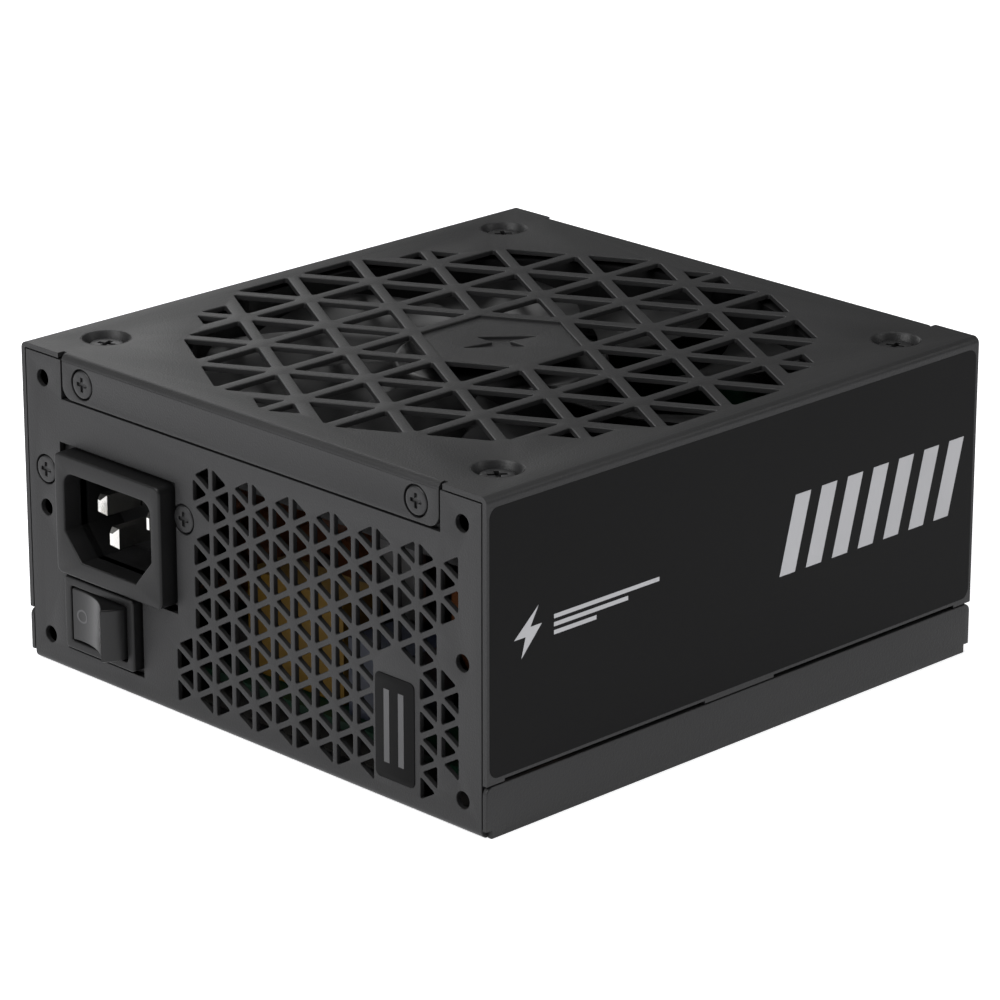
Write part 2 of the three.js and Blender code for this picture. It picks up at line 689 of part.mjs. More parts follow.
function switchTabs() {
  return switchTabPlaces().map((x, i) => {
    const body = box(x - 0.4, x + 0.4, -56.5, -43, SWITCH.z - 2.4, SWITCH.z + 2.4);
    return part(`switch_tab_${i + 1}`, body, MATERIALS.brightMetal);
  });
}

// The rocker's section about its pivot: a hollow face between two tips, round ends that
// turn inside the opening, and a flat foot.
function rockerSection() {
  const tip = THREE.MathUtils.degToRad(ROCKER.tipAngle);
  const skirt = THREE.MathUtils.degToRad(-ROCKER.skirtAngle);
  const tipX = ROCKER.radius * Math.cos(tip);
  const faceLow = ROCKER.radius * Math.sin(tip) - tipX ** 2 / (2 * ROCKER.hollowRadius);
  const shape = new THREE.Shape();
  const faceSteps = 8;
  shape.absarc(0, 0, ROCKER.radius, skirt, tip);
  for (let i = 1; i < faceSteps; i++) {
    const u = tipX * (1 - (2 * i) / faceSteps);
    shape.lineTo(u, faceLow + u ** 2 / (2 * ROCKER.hollowRadius));
  }
  shape.absarc(0, 0, ROCKER.radius, Math.PI - tip, Math.PI - skirt);
  return shape;
}

function switchRocker() {
  const section = extruded(rockerSection(), 2 * ROCKER.halfHeight, 5);
  section.translate(0, 0, -ROCKER.halfHeight);
  section.rotateX(Math.PI);
  const reach = ROCKER.openingHeight / 2 + TRUNNION.reach;
  const body = joined([solid(section), post(0, 0, TRUNNION.radius, -reach, reach, 8)]);
  const node = part("switch_rocker", body, MATERIALS.blackPlastic);
  node.rotation.z = THREE.MathUtils.degToRad(-ROCKER.tilt);
  node.position.set(PIVOT.x, PIVOT.y, PIVOT.z);
  return node;
}

// ---- Fan ----
function fanFrame() {
  const { half, bottom, top, bore } = FAN;
  const cup = CASE.height - CUP.depth - GAP;
  const plate = (z0, z1) => {
    const shape = roundedRect(-half, half, -half, half, 6, 3);
    shape.holes.push(circle(0, 0, bore));
    return slab(shape, z0, z1, 14);
  };
  const ring = circle(0, 0, half - 0.05);
  ring.holes.push(circle(0, 0, bore));
  const strut = box(14, bore + 0.6, -2.2, 2.2, bottom, bottom + 2.2);
  const struts = [0, 1, 2, 3].map((i) => turnedAboutZ(strut, 45 + 90 * i));
  const body = joined([
    slab(ring, bottom, top, 14),
    plate(bottom, bottom + 2.6),
    plate(top - 2.6, top),
    ...fanScrewPlaces().map(([x, y]) => post(x, y, 4.6, bottom, cup - 0.2, 8)),
    ...struts,
    post(0, 0, 19.5, bottom, bottom + 1.8, 24),
    post(0, 0, 5.2, bottom, bottom + 9.5, 12),
  ]);
  return part("fan_frame", without(body, [
    post(0, 0, 3.6, bottom + 1.2, top, 12),
    ...fanScrewPlaces().map(([x, y]) => post(x, y, 6.2, cup, top + 1, 12)),
    ...fanScrewPlaces().map(([x, y]) => post(x, y, 2.3, bottom - 1, top, 8)),
  ]), MATERIALS.fanPlastic);
}

function turnedAboutZ(body, degrees) {
  return body.rotate([0, 0, degrees]);
}

// A swept blade: a flat grid bent round the hub and pitched along its chord.
function fanBlade() {
  const inner = HUB.radius - 1.0;
  const span = BLADE.tip - inner;
  const steps = { span: 5, chord: 3 };
  const geometry = new THREE.BoxGeometry(span, 1, 1, steps.span, steps.chord, 1);
  const position = geometry.attributes.position;
  for (let i = 0; i < position.count; i++) {
    const along = position.getX(i) / span + 0.5;
    const across = position.getY(i);
    const radius = inner + along * span;
    const sweep = BLADE.sweep * along ** 1.6;
    const angle = THREE.MathUtils.degToRad(sweep + across * BLADE.chord);
    const middle = (BLADE.low + BLADE.high) / 2;
    const rise = (BLADE.high - BLADE.low - BLADE.thickness) * (1 - 0.25 * along);
    const camber = 1.4 * (0.25 - across ** 2);
    const z = middle - across * rise + camber + position.getZ(i) * BLADE.thickness;
    position.setXYZ(i, radius * Math.cos(angle), radius * Math.sin(angle), z);
  }
  return solid(geometry);
}

function fanRotor() {
  const { radius, top, bottom, wall } = HUB;
  const hub = turned([
    [2.0, top - wall], [2.0, top - 0.9], [0, top - 0.9], [0, top], [radius - 1, top], [radius, top - 1],
    [radius, bottom], [radius - wall, bottom], [radius - wall, top - wall], [2.0, top - wall],
  ].reverse(), 30);
  const blade = fanBlade();
  const blades = Array.from({ length: FAN.blades }, (_, i) => turnedAboutZ(blade, (360 / FAN.blades) * i));
  return part("fan_rotor", joined([hub, ...blades]), MATERIALS.fanPlastic);
}

function fanShaft() {
  return part("fan_shaft", post(0, 0, 1.5, FAN.bottom + 1.6, HUB.top - 1.3, 12), MATERIALS.brightMetal);
}

function fanBearing() {
  const z0 = FAN.bottom + 1.6;
  const z1 = FAN.bottom + 9.2;
  const body = turned([[1.85, z0], [3.2, z0], [3.2, z1], [1.85, z1], [1.85, z0]], 12);
  return part("fan_bearing", body, MATERIALS.bronze);
}

// Four wound poles around the bearing tube.
function fanStator() {
  const z0 = FAN.bottom + 3.4;
  const z1 = FAN.bottom + 8.6;
  const ring = turned([[5.6, z0], [8, z0], [8, z1], [5.6, z1], [5.6, z0]], 16);
  const pole = joined([box(7, 14, -2, 2, z0, z1), box(12.6, 14.6, -4.6, 4.6, z0, z1)]);
  const poles = [0, 1, 2, 3].map((i) => turnedAboutZ(pole, 90 * i));
  return part("fan_stator", joined([ring, ...poles]), MATERIALS.copper);
}

function fanMagnetRing() {
  const outer = HUB.radius - HUB.wall - GAP;
  const inner = outer - 2.2;
  const z0 = HUB.bottom + 0.4;
  const z1 = HUB.top - HUB.wall - 0.6;
  const body = turned([[inner, z0], [outer, z0], [outer, z1], [inner, z1], [inner, z0]], 24);
  return part("fan_magnet_ring", body, MATERIALS.magnet);
}

// ---- Leads inside the case ----
function lead(name, points, radius, look) {
  const path = new THREE.CatmullRomCurve3(points.map((p) => new THREE.Vector3(...p)));
  const geometry = new THREE.ExtrudeGeometry(circle(0, 0, radius), {
    steps: 12, bevelEnabled: false, extrudePath: path, curveSegments: 3,
  });
  return part(name, solid(geometry), look);
}

function leads() {
  return [
    lead("fan_lead", [[50, 46, 46.2], [50, 46.5, 40], [47, 46, 25], [44, 45, 14], [44, 45, 8]], 1.1,
      MATERIALS.blackPlastic),
    lead("switch_lead", [[-42.5, -40.1, 35.2], [-42.5, -38.5, 35.1], [-42.8, -36.4, 31.5], [-44, -36, 22],
      [-44.5, -36.8, 15.5], [-44.7, -39.4, 13.1], [-44.7, -42.6, 12.95]], 1.3, MATERIALS.blackPlastic),
  ];
}

// ---- Circuit boards and what stands on them ----
function boardOutline(inset) {
  const { halfX, front, rear, notchX, notchY } = BOARD;
  return polygon([
    [-halfX + inset, notchY + inset], [notchX + inset, notchY + inset], [notchX + inset, rear + inset],
    [halfX - inset, rear + inset], [halfX - inset, front - inset], [-halfX + inset, front - inset],
  ]);
}

function mainBoard() {
  const outline = boardOutline(0);
  outline.holes.push(...BOARD_SCREWS.map(([x, y]) => circle(x, y, 1.7)));
  return part("main_board", slab(outline, BOARD.bottom, BOARD.top, 3), MATERIALS.board);
}

function insulationSheet() {
  const outline = boardOutline(-1);
  outline.holes.push(...BOARD_SCREWS.map(([x, y]) => circle(x, y, 4)));
  return part("insulation_sheet", slab(outline, SHEET + GAP, SHEET + GAP + 0.4, 4), MATERIALS.insulation);
}

const STAND = BOARD.top + GAP;

function block(name, [x, y], [width, depth, height], look) {
  const body = box(x - width / 2, x + width / 2, y - depth / 2, y + depth / 2, STAND, STAND + height);
  return part(name, body, look);
}

function can(name, [x, y], radius, height, look) {
  const body = turned([
    [0, STAND], [radius, STAND], [radius, STAND + height - 0.8], [radius - 0.8, STAND + height], [0, STAND + height],
  ], 16, x, y);
  return part(name, body, look);
}

// A wound ring standing on edge on its mounting foot.
function standingRing(name, [x, y], outer, inner, width, look) {
  const z = STAND + outer + 1.2;
  const ring = turned([[inner, -width / 2], [outer, -width / 2], [outer, width / 2], [inner, width / 2],
    [inner, -width / 2]], 18).rotate([90, 0, 0]).translate([x, y, z]);
  const foot = box(x - outer * 0.6, x + outer * 0.6, y - width / 2, y + width / 2, STAND, STAND + 2.6);
  return part(name, joined([ring, foot]), look);
}

// A heatsink: an upright plate with fins across its top half.
function heatsink(name, x, [y0, y1], height, fins) {
  const plate = box(x - 1.5, x + 1.5, y0, y1, STAND, STAND + height);
  const pitch = (y1 - y0 - 1.2) / (fins - 1);
  const rows = Array.from({ length: fins }, (_, i) => {
    const y = y0 + i * pitch;
    return box(x - 6, x + 6, y, y + 1.2, STAND + height * 0.45, STAND + height);
  });
  return part(name, joined([plate, ...rows]), MATERIALS.aluminium);
}

// A transformer: a ferrite frame around a taped winding.
function transformer(name, [x, y], [width, depth, height], look) {
  const halfW = width / 2;
  const halfD = depth / 2;
  const core = joined([
    box(x - halfW, x + halfW, y - halfD * 0.45, y + halfD * 0.45, STAND, STAND + height),
    box(x - halfW * 0.72, x + halfW * 0.72, y - halfD, y + halfD, STAND + 2, STAND + height - 3.5),
  ]);
  return part(name, core, look);
}

function uprightBoard(name, [x0, x1], [y0, y1], height) {
  return part(name, box(x0, x1, y0, y1, STAND, STAND + height), MATERIALS.board);
}

function boardParts() {
  return [
    standingRing("mains_filter_choke_1", [-40, -26], 12.5, 6, 11, MATERIALS.copper),
    standingRing("mains_filter_choke_2", [-14, -27], 11, 5, 11, MATERIALS.copper),
    block("mains_filter_capacitor", [0, -48], [26, 10, 20], MATERIALS.filmYellow),
    block("mains_fuse", [-16, -43], [5, 16, 7], MATERIALS.insulation),
    block("inrush_relay", [24, -49], [15, 12, 15], MATERIALS.capSleeve),
    block("bridge_rectifier", [4.2, -28], [4.5, 24, 18], MATERIALS.blackPlastic),
    heatsink("primary_heatsink", 14, [-40, -14], 32, 6),
    standingRing("boost_choke", [38, -28], 15.5, 7.5, 14, MATERIALS.copper),
    can("reservoir_capacitor", [-41, 2], 12.5, 34, MATERIALS.capSleeve),
    transformer("main_transformer", [-6, 5], [34, 32, 30], MATERIALS.tape),
    transformer("standby_transformer", [-41, 29], [18, 17, 17], MATERIALS.tape),
    heatsink("secondary_heatsink", 22, [-6, 24], 32, 6),
    can("output_capacitor_1", [36, 2], 5, 20, MATERIALS.capSleeve),
    can("output_capacitor_2", [48, 2], 5, 20, MATERIALS.capSleeve),
    uprightBoard("converter_board", [-24, 32], [33, 34.6], 30),
    uprightBoard("control_board", [34, 35.6], [12, 40], 24),
  ];
}

function modularBoard() {
  const body = box(-59, 59, MODULAR_BOARD.y0, MODULAR_BOARD.y1, 2.4, 45.6);
  return part("modular_board", body, MATERIALS.board);
}

// ---- Output sockets ----
// An open shroud around two rows of contacts that stop well below its mouth.
function outputSocket(socket) {
  const { width, height } = socketSize(socket);
  const { wall, pitch, floor, pinTop, pinWidth, cavityHeight } = OUTPUT;
  const back = MODULAR_BOARD.y1 + GAP;
  const front = CASE.halfY;
  const { x, z } = socket;
  const shell = roundedRect(x - width / 2, x + width / 2, z - height / 2, z + height / 2, 0.5);
  const cavityX = width / 2 - wall;
  const cavityZ = cavityHeight / 2;
  const hollow = box(x - cavityX, x + cavityX, back + floor, front + 1, z - cavityZ, z + cavityZ);
  const pins = [];
  for (let column = 0; column < socket.columns; column++) {
    for (const row of [-0.5, 0.5]) {
      const px = x + (column - (socket.columns - 1) / 2) * pitch;
      const pz = z + row * pitch;
      const half = pinWidth / 2;
      pins.push(box(px - half, px + half, back + 1, back + floor + pinTop, pz - half, pz + half));
    }
  }
  const body = joined([wallY(shell, back, front, 2).subtract(hollow), ...pins]);
  return part(socket.name, body, MATERIALS.blackPlastic);
}

// ---- The whole supply ----
const supply = new THREE.Group();
supply.name = "power_supply";

const casing = new THREE.Group();
casing.add(part("bottom_tray", bottomTray(), MATERIALS.coatedSteel));
casing.add(part("top_cover", topCover(), MATERIALS.coatedSteel));
casing.add(...fasteners());

const mainsEntry = new THREE.Group();
mainsEntry.add(inletHousing(), ...PINS.map(inletPin));
mainsEntry.add(switchHousing(), switchRocker(), ...switchTabs());

const fan = new THREE.Group();
fan.add(fanFrame(), fanRotor(), fanShaft(), fanBearing(), fanStator(), fanMagnetRing());

const electronics = new THREE.Group();
electronics.add(mainBoard(), insulationSheet(), ...boardParts(), modularBoard());
electronics.add(...SOCKETS.map(outputSocket), ...leads());

supply.add(casing, mainsEntry, fan, electronics);

export default supply;
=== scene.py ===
"""A compact modular power supply on a pale floor, seen from its rear right corner."""

import json
import math

import bmesh
import bpy
from mathutils import Matrix, Vector
from mathutils.geometry import delaunay_2d_cdt


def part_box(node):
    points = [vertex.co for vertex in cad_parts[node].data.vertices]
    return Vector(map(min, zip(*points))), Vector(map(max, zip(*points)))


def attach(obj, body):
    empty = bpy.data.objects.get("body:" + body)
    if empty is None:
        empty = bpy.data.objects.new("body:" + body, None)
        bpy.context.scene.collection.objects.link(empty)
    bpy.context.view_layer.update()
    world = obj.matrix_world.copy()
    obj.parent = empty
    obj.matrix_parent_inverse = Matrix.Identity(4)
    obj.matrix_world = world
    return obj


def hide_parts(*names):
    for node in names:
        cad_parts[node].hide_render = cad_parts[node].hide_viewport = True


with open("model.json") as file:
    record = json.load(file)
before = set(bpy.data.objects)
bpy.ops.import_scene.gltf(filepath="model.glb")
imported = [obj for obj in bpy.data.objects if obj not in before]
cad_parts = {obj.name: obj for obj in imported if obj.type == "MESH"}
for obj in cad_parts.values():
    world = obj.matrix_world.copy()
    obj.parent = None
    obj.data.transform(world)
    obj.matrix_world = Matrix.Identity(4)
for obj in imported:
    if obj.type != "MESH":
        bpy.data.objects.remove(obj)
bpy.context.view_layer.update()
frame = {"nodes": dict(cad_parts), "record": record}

MM = 0.001

# ---- Sizes, in millimetres ----
case_high = Vector(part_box("bottom_tray")[1]) / MM
HALF_X = case_high.x
HALF_Y = case_high.y
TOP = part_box("top_cover")[1][2] / MM
SHEET = 1.0
BEND = 1.3
GAP = 0.3
FLANGE_X = 50.7
RELIEF_X = 51.7
RELIEF_Y = HALF_Y - 1.5
FLANGE_LOW = 54.9
SEAM_LOW = 9.9
SEAM_HIGH = 10.2
SEAM_RAISED = 10.7
OVERLAP = 0.001  # between blocks that make up one sheet

# Holes and screws: (x, z) on the rear panel, or x = y on the top.
MOUNTING_X = 56.5
MOUNTING_Z = (6, 31.75, 57.5)
COVER_SCREW_X, COVER_SCREW_Z = 45, 58.7
INLET_SCREW_LEFT, INLET_SCREW_RIGHT, INLET_SCREW_Z = -56.3, -16.9, 39.4
FAN_SCREW = 52.5
FAN_SCREW_DROP = 1.1

# Triangle lattices: the grille on top and the vents on the rear panel.
GRILLE_EDGE, GRILLE_BAR = 17.0, 2.3
GRILLE_RINGS = 4
VENT_EDGE, VENT_BAR = 6.27, 1.1
VENT_FIRST, VENT_TOP = -14.6, 48.98
VENT_COLUMNS, VENT_ROWS = 13, 15

# Mains inlet and switch, set into the rear panel from inside.
PANEL_BACK = -62.2
FLANGE_BACK = -63.7
INLET_X, INLET_Z = -35.5, 33.1
MOUTH_WIDTH, MOUTH_HEIGHT, MOUTH_RADIUS = 24.8, 16.9, 2.5
MOUTH_CHAMFER_X, MOUTH_CHAMFER_Z = 4.6, 5.3
SWITCH_X, SWITCH_Z = -40.2, 12.95

# Fan rotor.
HUB_RADIUS, HUB_TOP, HUB_BOTTOM, HUB_WALL = 20.5, 60.2, 50.2, 1.6
BLADES = 9
BLADE_ROOT, BLADE_TIP = 19.5, 56.7
BLADE_SWEEP, BLADE_CHORD = 26, 34
BLADE_MIDDLE, BLADE_PITCH, BLADE_CAMBER, BLADE_THICKNESS = 55.1, 7.3, 1.4, 1.2

# Films and prints stand this far off the sheet they lie on.
FILM_LIFT = 0.03
PRINT_LIFT = 0.05

# Camera, at the photo's viewing angle.
FOCAL_LENGTH, SENSOR_WIDTH = 168.3, 36
EYE = (597.7, -589.0, 329.4)
YAW, PITCH = 45.43, 19.56


def camera():
    """The photo's view: from the rear right, a little above."""
    data = bpy.data.cameras.new("camera")
    data.lens = FOCAL_LENGTH
    data.sensor_width = SENSOR_WIDTH
    data.clip_end = 20
    data.dof.use_dof = False
    eye = bpy.data.objects.new("camera", data)
    bpy.context.collection.objects.link(eye)
    yaw, pitch = math.radians(YAW), math.radians(PITCH)
    level = math.cos(pitch)
    forward = Vector((-math.sin(yaw) * level, math.cos(yaw) * level, -math.sin(pitch)))
    eye.location = Vector(EYE) * MM
    eye.rotation_euler = forward.to_track_quat("-Z", "Y").to_euler()
    bpy.context.scene.camera = eye


# ---- Materials ----
def finish_of(
    name, dark, light, rough, metallic=0.0, grain=900.0, bump=0.05, shine=0.5, glow=0.0,
):
    """A surface whose colour, roughness and relief all follow a fine grain and a slow mottling."""
    material = bpy.data.materials.new(name)
    material.use_nodes = True
    tree = material.node_tree
    shader = tree.nodes["Principled BSDF"]
    shader.inputs["Metallic"].default_value = metallic
    shader.inputs["Specular IOR Level"].default_value = shine
    shader.inputs["Emission Color"].default_value = (1, 1, 1, 1)
    shader.inputs["Emission Strength"].default_value = glow
    place = tree.nodes.new("ShaderNodeTexCoord")
    fine = tree.nodes.new("ShaderNodeTexNoise")
    fine.inputs["Scale"].default_value = grain
    fine.inputs["Detail"].default_value = 3.0
    slow = tree.nodes.new("ShaderNodeTexNoise")
    slow.inputs["Scale"].default_value = 28.0
    slow.inputs["Detail"].default_value = 4.0
    ramp = tree.nodes.new("ShaderNodeValToRGB")
    ramp.color_ramp.elements[0].position = 0.35
    ramp.color_ramp.elements[1].position = 0.65
    ramp.color_ramp.elements[0].color = (*dark, 1)
    ramp.color_ramp.elements[1].color = (*light, 1)
    gloss = tree.nodes.new("ShaderNodeMapRange")
    gloss.inputs["To Min"].default_value = rough - 0.06
    gloss.inputs["To Max"].default_value = rough + 0.06
    relief = tree.nodes.new("ShaderNodeBump")
    relief.inputs["Strength"].default_value = bump
    relief.inputs["Distance"].default_value = 0.0002
    link = tree.links.new
    link(place.outputs["Object"], fine.inputs["Vector"])
    link(place.outputs["Object"], slow.inputs["Vector"])
    link(slow.outputs["Fac"], ramp.inputs["Fac"])
    link(ramp.outputs["Color"], shader.inputs["Base Color"])
    link(slow.outputs["Fac"], gloss.inputs["Value"])
    link(gloss.outputs["Result"], shader.inputs["Roughness"])
    link(fine.outputs["Fac"], relief.inputs["Height"])
    link(relief.outputs["Normal"], shader.inputs["Normal"])
    return material


def grey(level):
    """A neutral tone, barely blue."""
    return (level, level, level * 1.03)


LOOKS = {
    "coated_steel": finish_of(
        "powder_coat", grey(0.011), grey(0.014),
        rough=0.46, grain=2600, bump=0.3, shine=0.27,
    ),
    "black_plastic": finish_of(
        "inlet_plastic", grey(0.005), grey(0.007),
        rough=0.42, grain=1800, bump=0.12, shine=0.2,
    ),
    "rocker_plastic": finish_of(
        "rocker_plastic", grey(0.006), grey(0.008),
        rough=0.3, grain=1500, bump=0.06, shine=0.3,
    ),
    "fan_plastic": finish_of(
        "fan_plastic", grey(0.003), grey(0.005),
        rough=0.36, grain=1200, bump=0.06, shine=0.35,
    ),
    "socket_plastic": finish_of(
        "socket_plastic", grey(0.016), grey(0.021),
        rough=0.45, grain=1500, bump=0.1,
    ),
    "black_screw": finish_of(
        "black_oxide", grey(0.012), grey(0.018),
        rough=0.38, metallic=0.3, grain=1600, bump=0.1, shine=0.3,
    ),
    "bright_metal": finish_of(
        "plated_metal", (0.62, 0.61, 0.58), (0.74, 0.73, 0.7),
        rough=0.24, metallic=1.0, grain=1400, bump=0.06,
    ),
    "bronze": finish_of(
        "sintered_bronze", (0.42, 0.27, 0.12), (0.52, 0.34, 0.16),
        rough=0.45, metallic=1.0, grain=2000, bump=0.2,
    ),
    "copper": finish_of(
        "enamelled_copper", (0.16, 0.055, 0.02), (0.22, 0.08, 0.03),
        rough=0.4, metallic=0.3, bump=0.6, shine=0.2,
    ),
    "magnet": finish_of(
        "magnet", grey(0.05), grey(0.08),
        rough=0.6, metallic=0.2, grain=1500, bump=0.2,
    ),
    "circuit_board": finish_of(
        "solder_mask", (0.003, 0.016, 0.008), (0.005, 0.024, 0.012),
        rough=0.4, grain=700, bump=0.1, shine=0.2,
    ),
    "insulation": finish_of(
        "insulation", (0.028, 0.027, 0.025), (0.036, 0.034, 0.031),
        rough=0.5, bump=0.08, shine=0.2,
    ),
    "yellow_film": finish_of(
        "film_capacitor", (0.1, 0.056, 0.006), (0.13, 0.075, 0.009),
        rough=0.5, bump=0.08, shine=0.2,
    ),
    "cap_sleeve": finish_of(
        "capacitor_sleeve", (0.015, 0.018, 0.03), (0.022, 0.026, 0.042),
        rough=0.3,
    ),
    "aluminium": finish_of(
        "mill_aluminium", grey(0.1), grey(0.14),
        rough=0.5, metallic=1.0, grain=1300, bump=0.12,
    ),
    "tape": finish_of(
        "winding_tape", (0.07, 0.042, 0.007), (0.095, 0.058, 0.01),
        rough=0.5, grain=700, bump=0.1, shine=0.2,
    ),
    "lead_sleeve": finish_of(
        "lead_sleeve", grey(0.014), grey(0.02),
        rough=0.5, grain=1500, bump=0.1,
    ),
}
LABEL_DARK = finish_of(
    "label_film", grey(0.0025), grey(0.003),
    rough=0.42, grain=1200, bump=0.03, shine=0.06,
)
PRINT_LIGHT = finish_of("light_print", grey(0.36), grey(0.42), rough=0.45, grain=1500, bump=0.04)
PRINT_DIM = finish_of(
    "dim_print", grey(0.06), grey(0.075),
    rough=0.5, grain=1500, bump=0.04, shine=0.2,
)
# Painted highlight: a light grey, part-metal finish for the seam strip, standing in for the light
# the seam tab's edge catches.
EDGE_HIGHLIGHT_PAINT = finish_of(
    "painted_seam_highlight", grey(0.3), grey(0.38),
    rough=0.35, metallic=0.4, grain=1500, bump=0.04,
)


# ---- Mesh building ----
# Carry a drawing from (u, v, depth) to the case: onto a rear or front panel, or a side.
TO_XZ = Matrix(((1, 0, 0, 0), (0, 0, 1, 0), (0, 1, 0, 0), (0, 0, 0, 1)))
TO_YZ = Matrix(((0, 0, 1, 0), (1, 0, 0, 0), (0, 1, 0, 0), (0, 0, 0, 1)))
FLAT = Matrix.Identity(4)


def rounded(points, radius, steps=3):
    """A closed polygon with its corners turned into short arcs."""
    out = []
    count = len(points)
    for i, point in enumerate(points):
        here = Vector(point)
        back = (Vector(points[i - 1]) - here).normalized()
        ahead = (Vector(points[(i + 1) % count]) - here).normalized()
        half = math.acos(max(-1, min(1, back.dot(ahead)))) / 2
        reach = radius / math.tan(half)
        centre = here + (back + ahead).normalized() * (radius / math.sin(half))
        first = here + back * reach - centre
        last = here + ahead * reach - centre
        for step in range(steps + 1):
            t = step / steps
            out.append(centre + first.slerp(last, t).normalized() * radius)
    return out


def circle(u, v, radius, steps=48):
    """A many-sided round outline about (u, v)."""
    turns = [2 * math.pi * i / steps for i in range(steps)]
    return [Vector((u + radius * math.cos(a), v + radius * math.sin(a))) for a in turns]


def rect(u0, u1, v0, v1):
    """A rectangle's corners."""
    return [(u0, v0), (u1, v0), (u1, v1), (u0, v1)]


def area(loop):
    """The area inside a loop, negative when it runs clockwise."""
    return sum(a[0] * b[1] - b[0] * a[1] for a, b in zip(loop, loop[1:] + loop[:1])) / 2


def inward(loop):
    """At each corner, the step that moves the edge one unit to the left of the loop's direction."""
    steps = []
    for i, point in enumerate(loop):
        before = (point - loop[i - 1]).normalized()
        after = (loop[(i + 1) % len(loop)] - point).normalized()
        left = Vector((-before.y - after.y, before.x + after.x))
        if left.length < 1e-6:
            left = Vector((-before.y, before.x))
        left.normalize()
        steps.append(left / max(0.3, left.dot(Vector((-before.y, before.x)))))
    return steps


def inside(point, loop):
    """Whether a loop goes round a point."""
    crossings = 0
    for a, b in zip(loop, loop[1:] + loop[:1]):
        if (a.y > point.y) != (b.y > point.y):
            crossings += point.x < a.x + (point.y - a.y) * (b.x - a.x) / (b.y - a.y)
    return crossings % 2 == 1


def filled(loops):
    """Triangles between an outline and its holes, as corner numbers through all the loops."""
    points = [point for loop in loops for point in loop]
    owner = [index for index, loop in enumerate(loops) for _ in loop]
    sides = []
    start = 0
    for loop in loops:
        sides += [(start + i, start + (i + 1) % len(loop)) for i in range(len(loop))]
        start += len(loop)
    _, _, faces, sources, _, _ = delaunay_2d_cdt(points, sides, [], 0, 1e-6, True)
    kept = []
    for face in faces:
        corners = [sources[corner][0] for corner in face]
        owners = {owner[corner] for corner in corners}
        if len(owners) == 1:
            index = owners.pop()
            centre = (points[corners[0]] + points[corners[1]] + points[corners[2]]) / 3
            if inside(centre, loops[index]) != (index == 0):
                continue
        kept.append(corners)
    return kept


def sheet(bm, outline, holes, z0, z1, place=FLAT, edge=0.0, rim=0.0):
    """A flat piece between z0 and z1. edge rounds its outline and rim its holes, on the z1 side."""
    loops = []
    for index, loop in enumerate([outline, *holes]):
        loop = [Vector(p) for p in loop]
        if (area(loop) > 0) != (index == 0):
            loop.reverse()
        loops.append(loop)
    side = 1 if z1 > z0 else -1
    rings = []
    for index, loop in enumerate(loops):
        radius = edge if index == 0 else rim
        steps = inward(loop)
        levels = [(0, z1), (0, z0)]
        if radius:
            turns = [math.pi / 2 * i / 4 for i in range(5)]
            arc = [
                (radius * (1 - math.sin(a)), z1 - side * radius * (1 - math.cos(a)))
                for a in turns
            ]
            levels = [*arc, (0, z0)]
        rings.append([
            [
                bm.verts.new(place @ (Vector((*(p + n * inset), z)) * MM))
                for p, n in zip(loop, steps)
            ]
            for inset, z in levels
        ])
    for ring in rings:
        for upper, lower in zip(ring, ring[1:]):
            for i in range(len(upper)):
                j = (i + 1) % len(upper)
                bm.faces.new((lower[i], lower[j], upper[j], upper[i])).smooth = True
    triangles = filled(loops)
    for level in (0, -1):
        verts = [v for ring in rings for v in ring[level]]
        for triangle in triangles:
            bm.faces.new([verts[i] for i in triangle])


def extrusion(bm, section, x0, x1, place):
    """A closed section run from x0 to x1."""
    sheet(bm, section, [], x0, x1, place)


def turned(bm, profile, place=FLAT, steps=48):
    """A closed piece turned about local Z from (radius, z) points, from the axis to the axis."""
    rings = []
    for radius, z in profile:
        if radius < 1e-6:
            rings.append([bm.verts.new(place @ (Vector((0, 0, z)) * MM))])
            continue
        rings.append([
            bm.verts.new(place @ (Vector((*p, z)) * MM)) for p in circle(0, 0, radius, steps)
        ])
    for low, high in zip(rings, rings[1:]):
        for i in range(steps):
            j = (i + 1) % steps
            corners = [
                low[i % len(low)], low[j % len(low)], high[j % len(high)], high[i % len(high)],
            ]
            unique = list(dict.fromkeys(corners))
            if len(unique) > 2:
                bm.faces.new(unique).smooth = True


def joined(bm, rings, smooth=False):
    """Faces between each ring of corners and the next."""
    for low, high in zip(rings, rings[1:]):
        for i in range(len(low)):
            j = (i + 1) % len(low)
            bm.faces.new((low[i], low[j], high[j], high[i])).smooth = smooth


def closed_ring(bm, profile, place, steps=48):
    """A ring about local Z, whose section is the closed profile of (radius, z) points."""
    rings = [
        [bm.verts.new(place @ (Vector((*p, z)) * MM)) for p in circle(0, 0, radius, steps)]
        for radius, z in profile
    ]
    joined(bm, [*rings, rings[0]], smooth=True)


def piece(name, bm, look, body="case", nodes=(), sharp=40):
    """Turns the mesh into an object of the supply, on its body and in place of its CAD nodes."""
    bmesh.ops.recalc_face_normals(bm, faces=bm.faces)
    mesh = bpy.data.meshes.new(name)
    bm.to_mesh(mesh)
    bm.free()
    mesh.set_sharp_from_angle(angle=math.radians(sharp))
    mesh.materials.append(look)
    made = bpy.data.objects.new(name, mesh)
    bpy.context.collection.objects.link(made)
    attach(made, body)
    if nodes:
        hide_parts(*nodes)


def move(x, y, z):
    """A shift, given in millimetres."""
    return Matrix.Translation(Vector((x, y, z)) * MM)


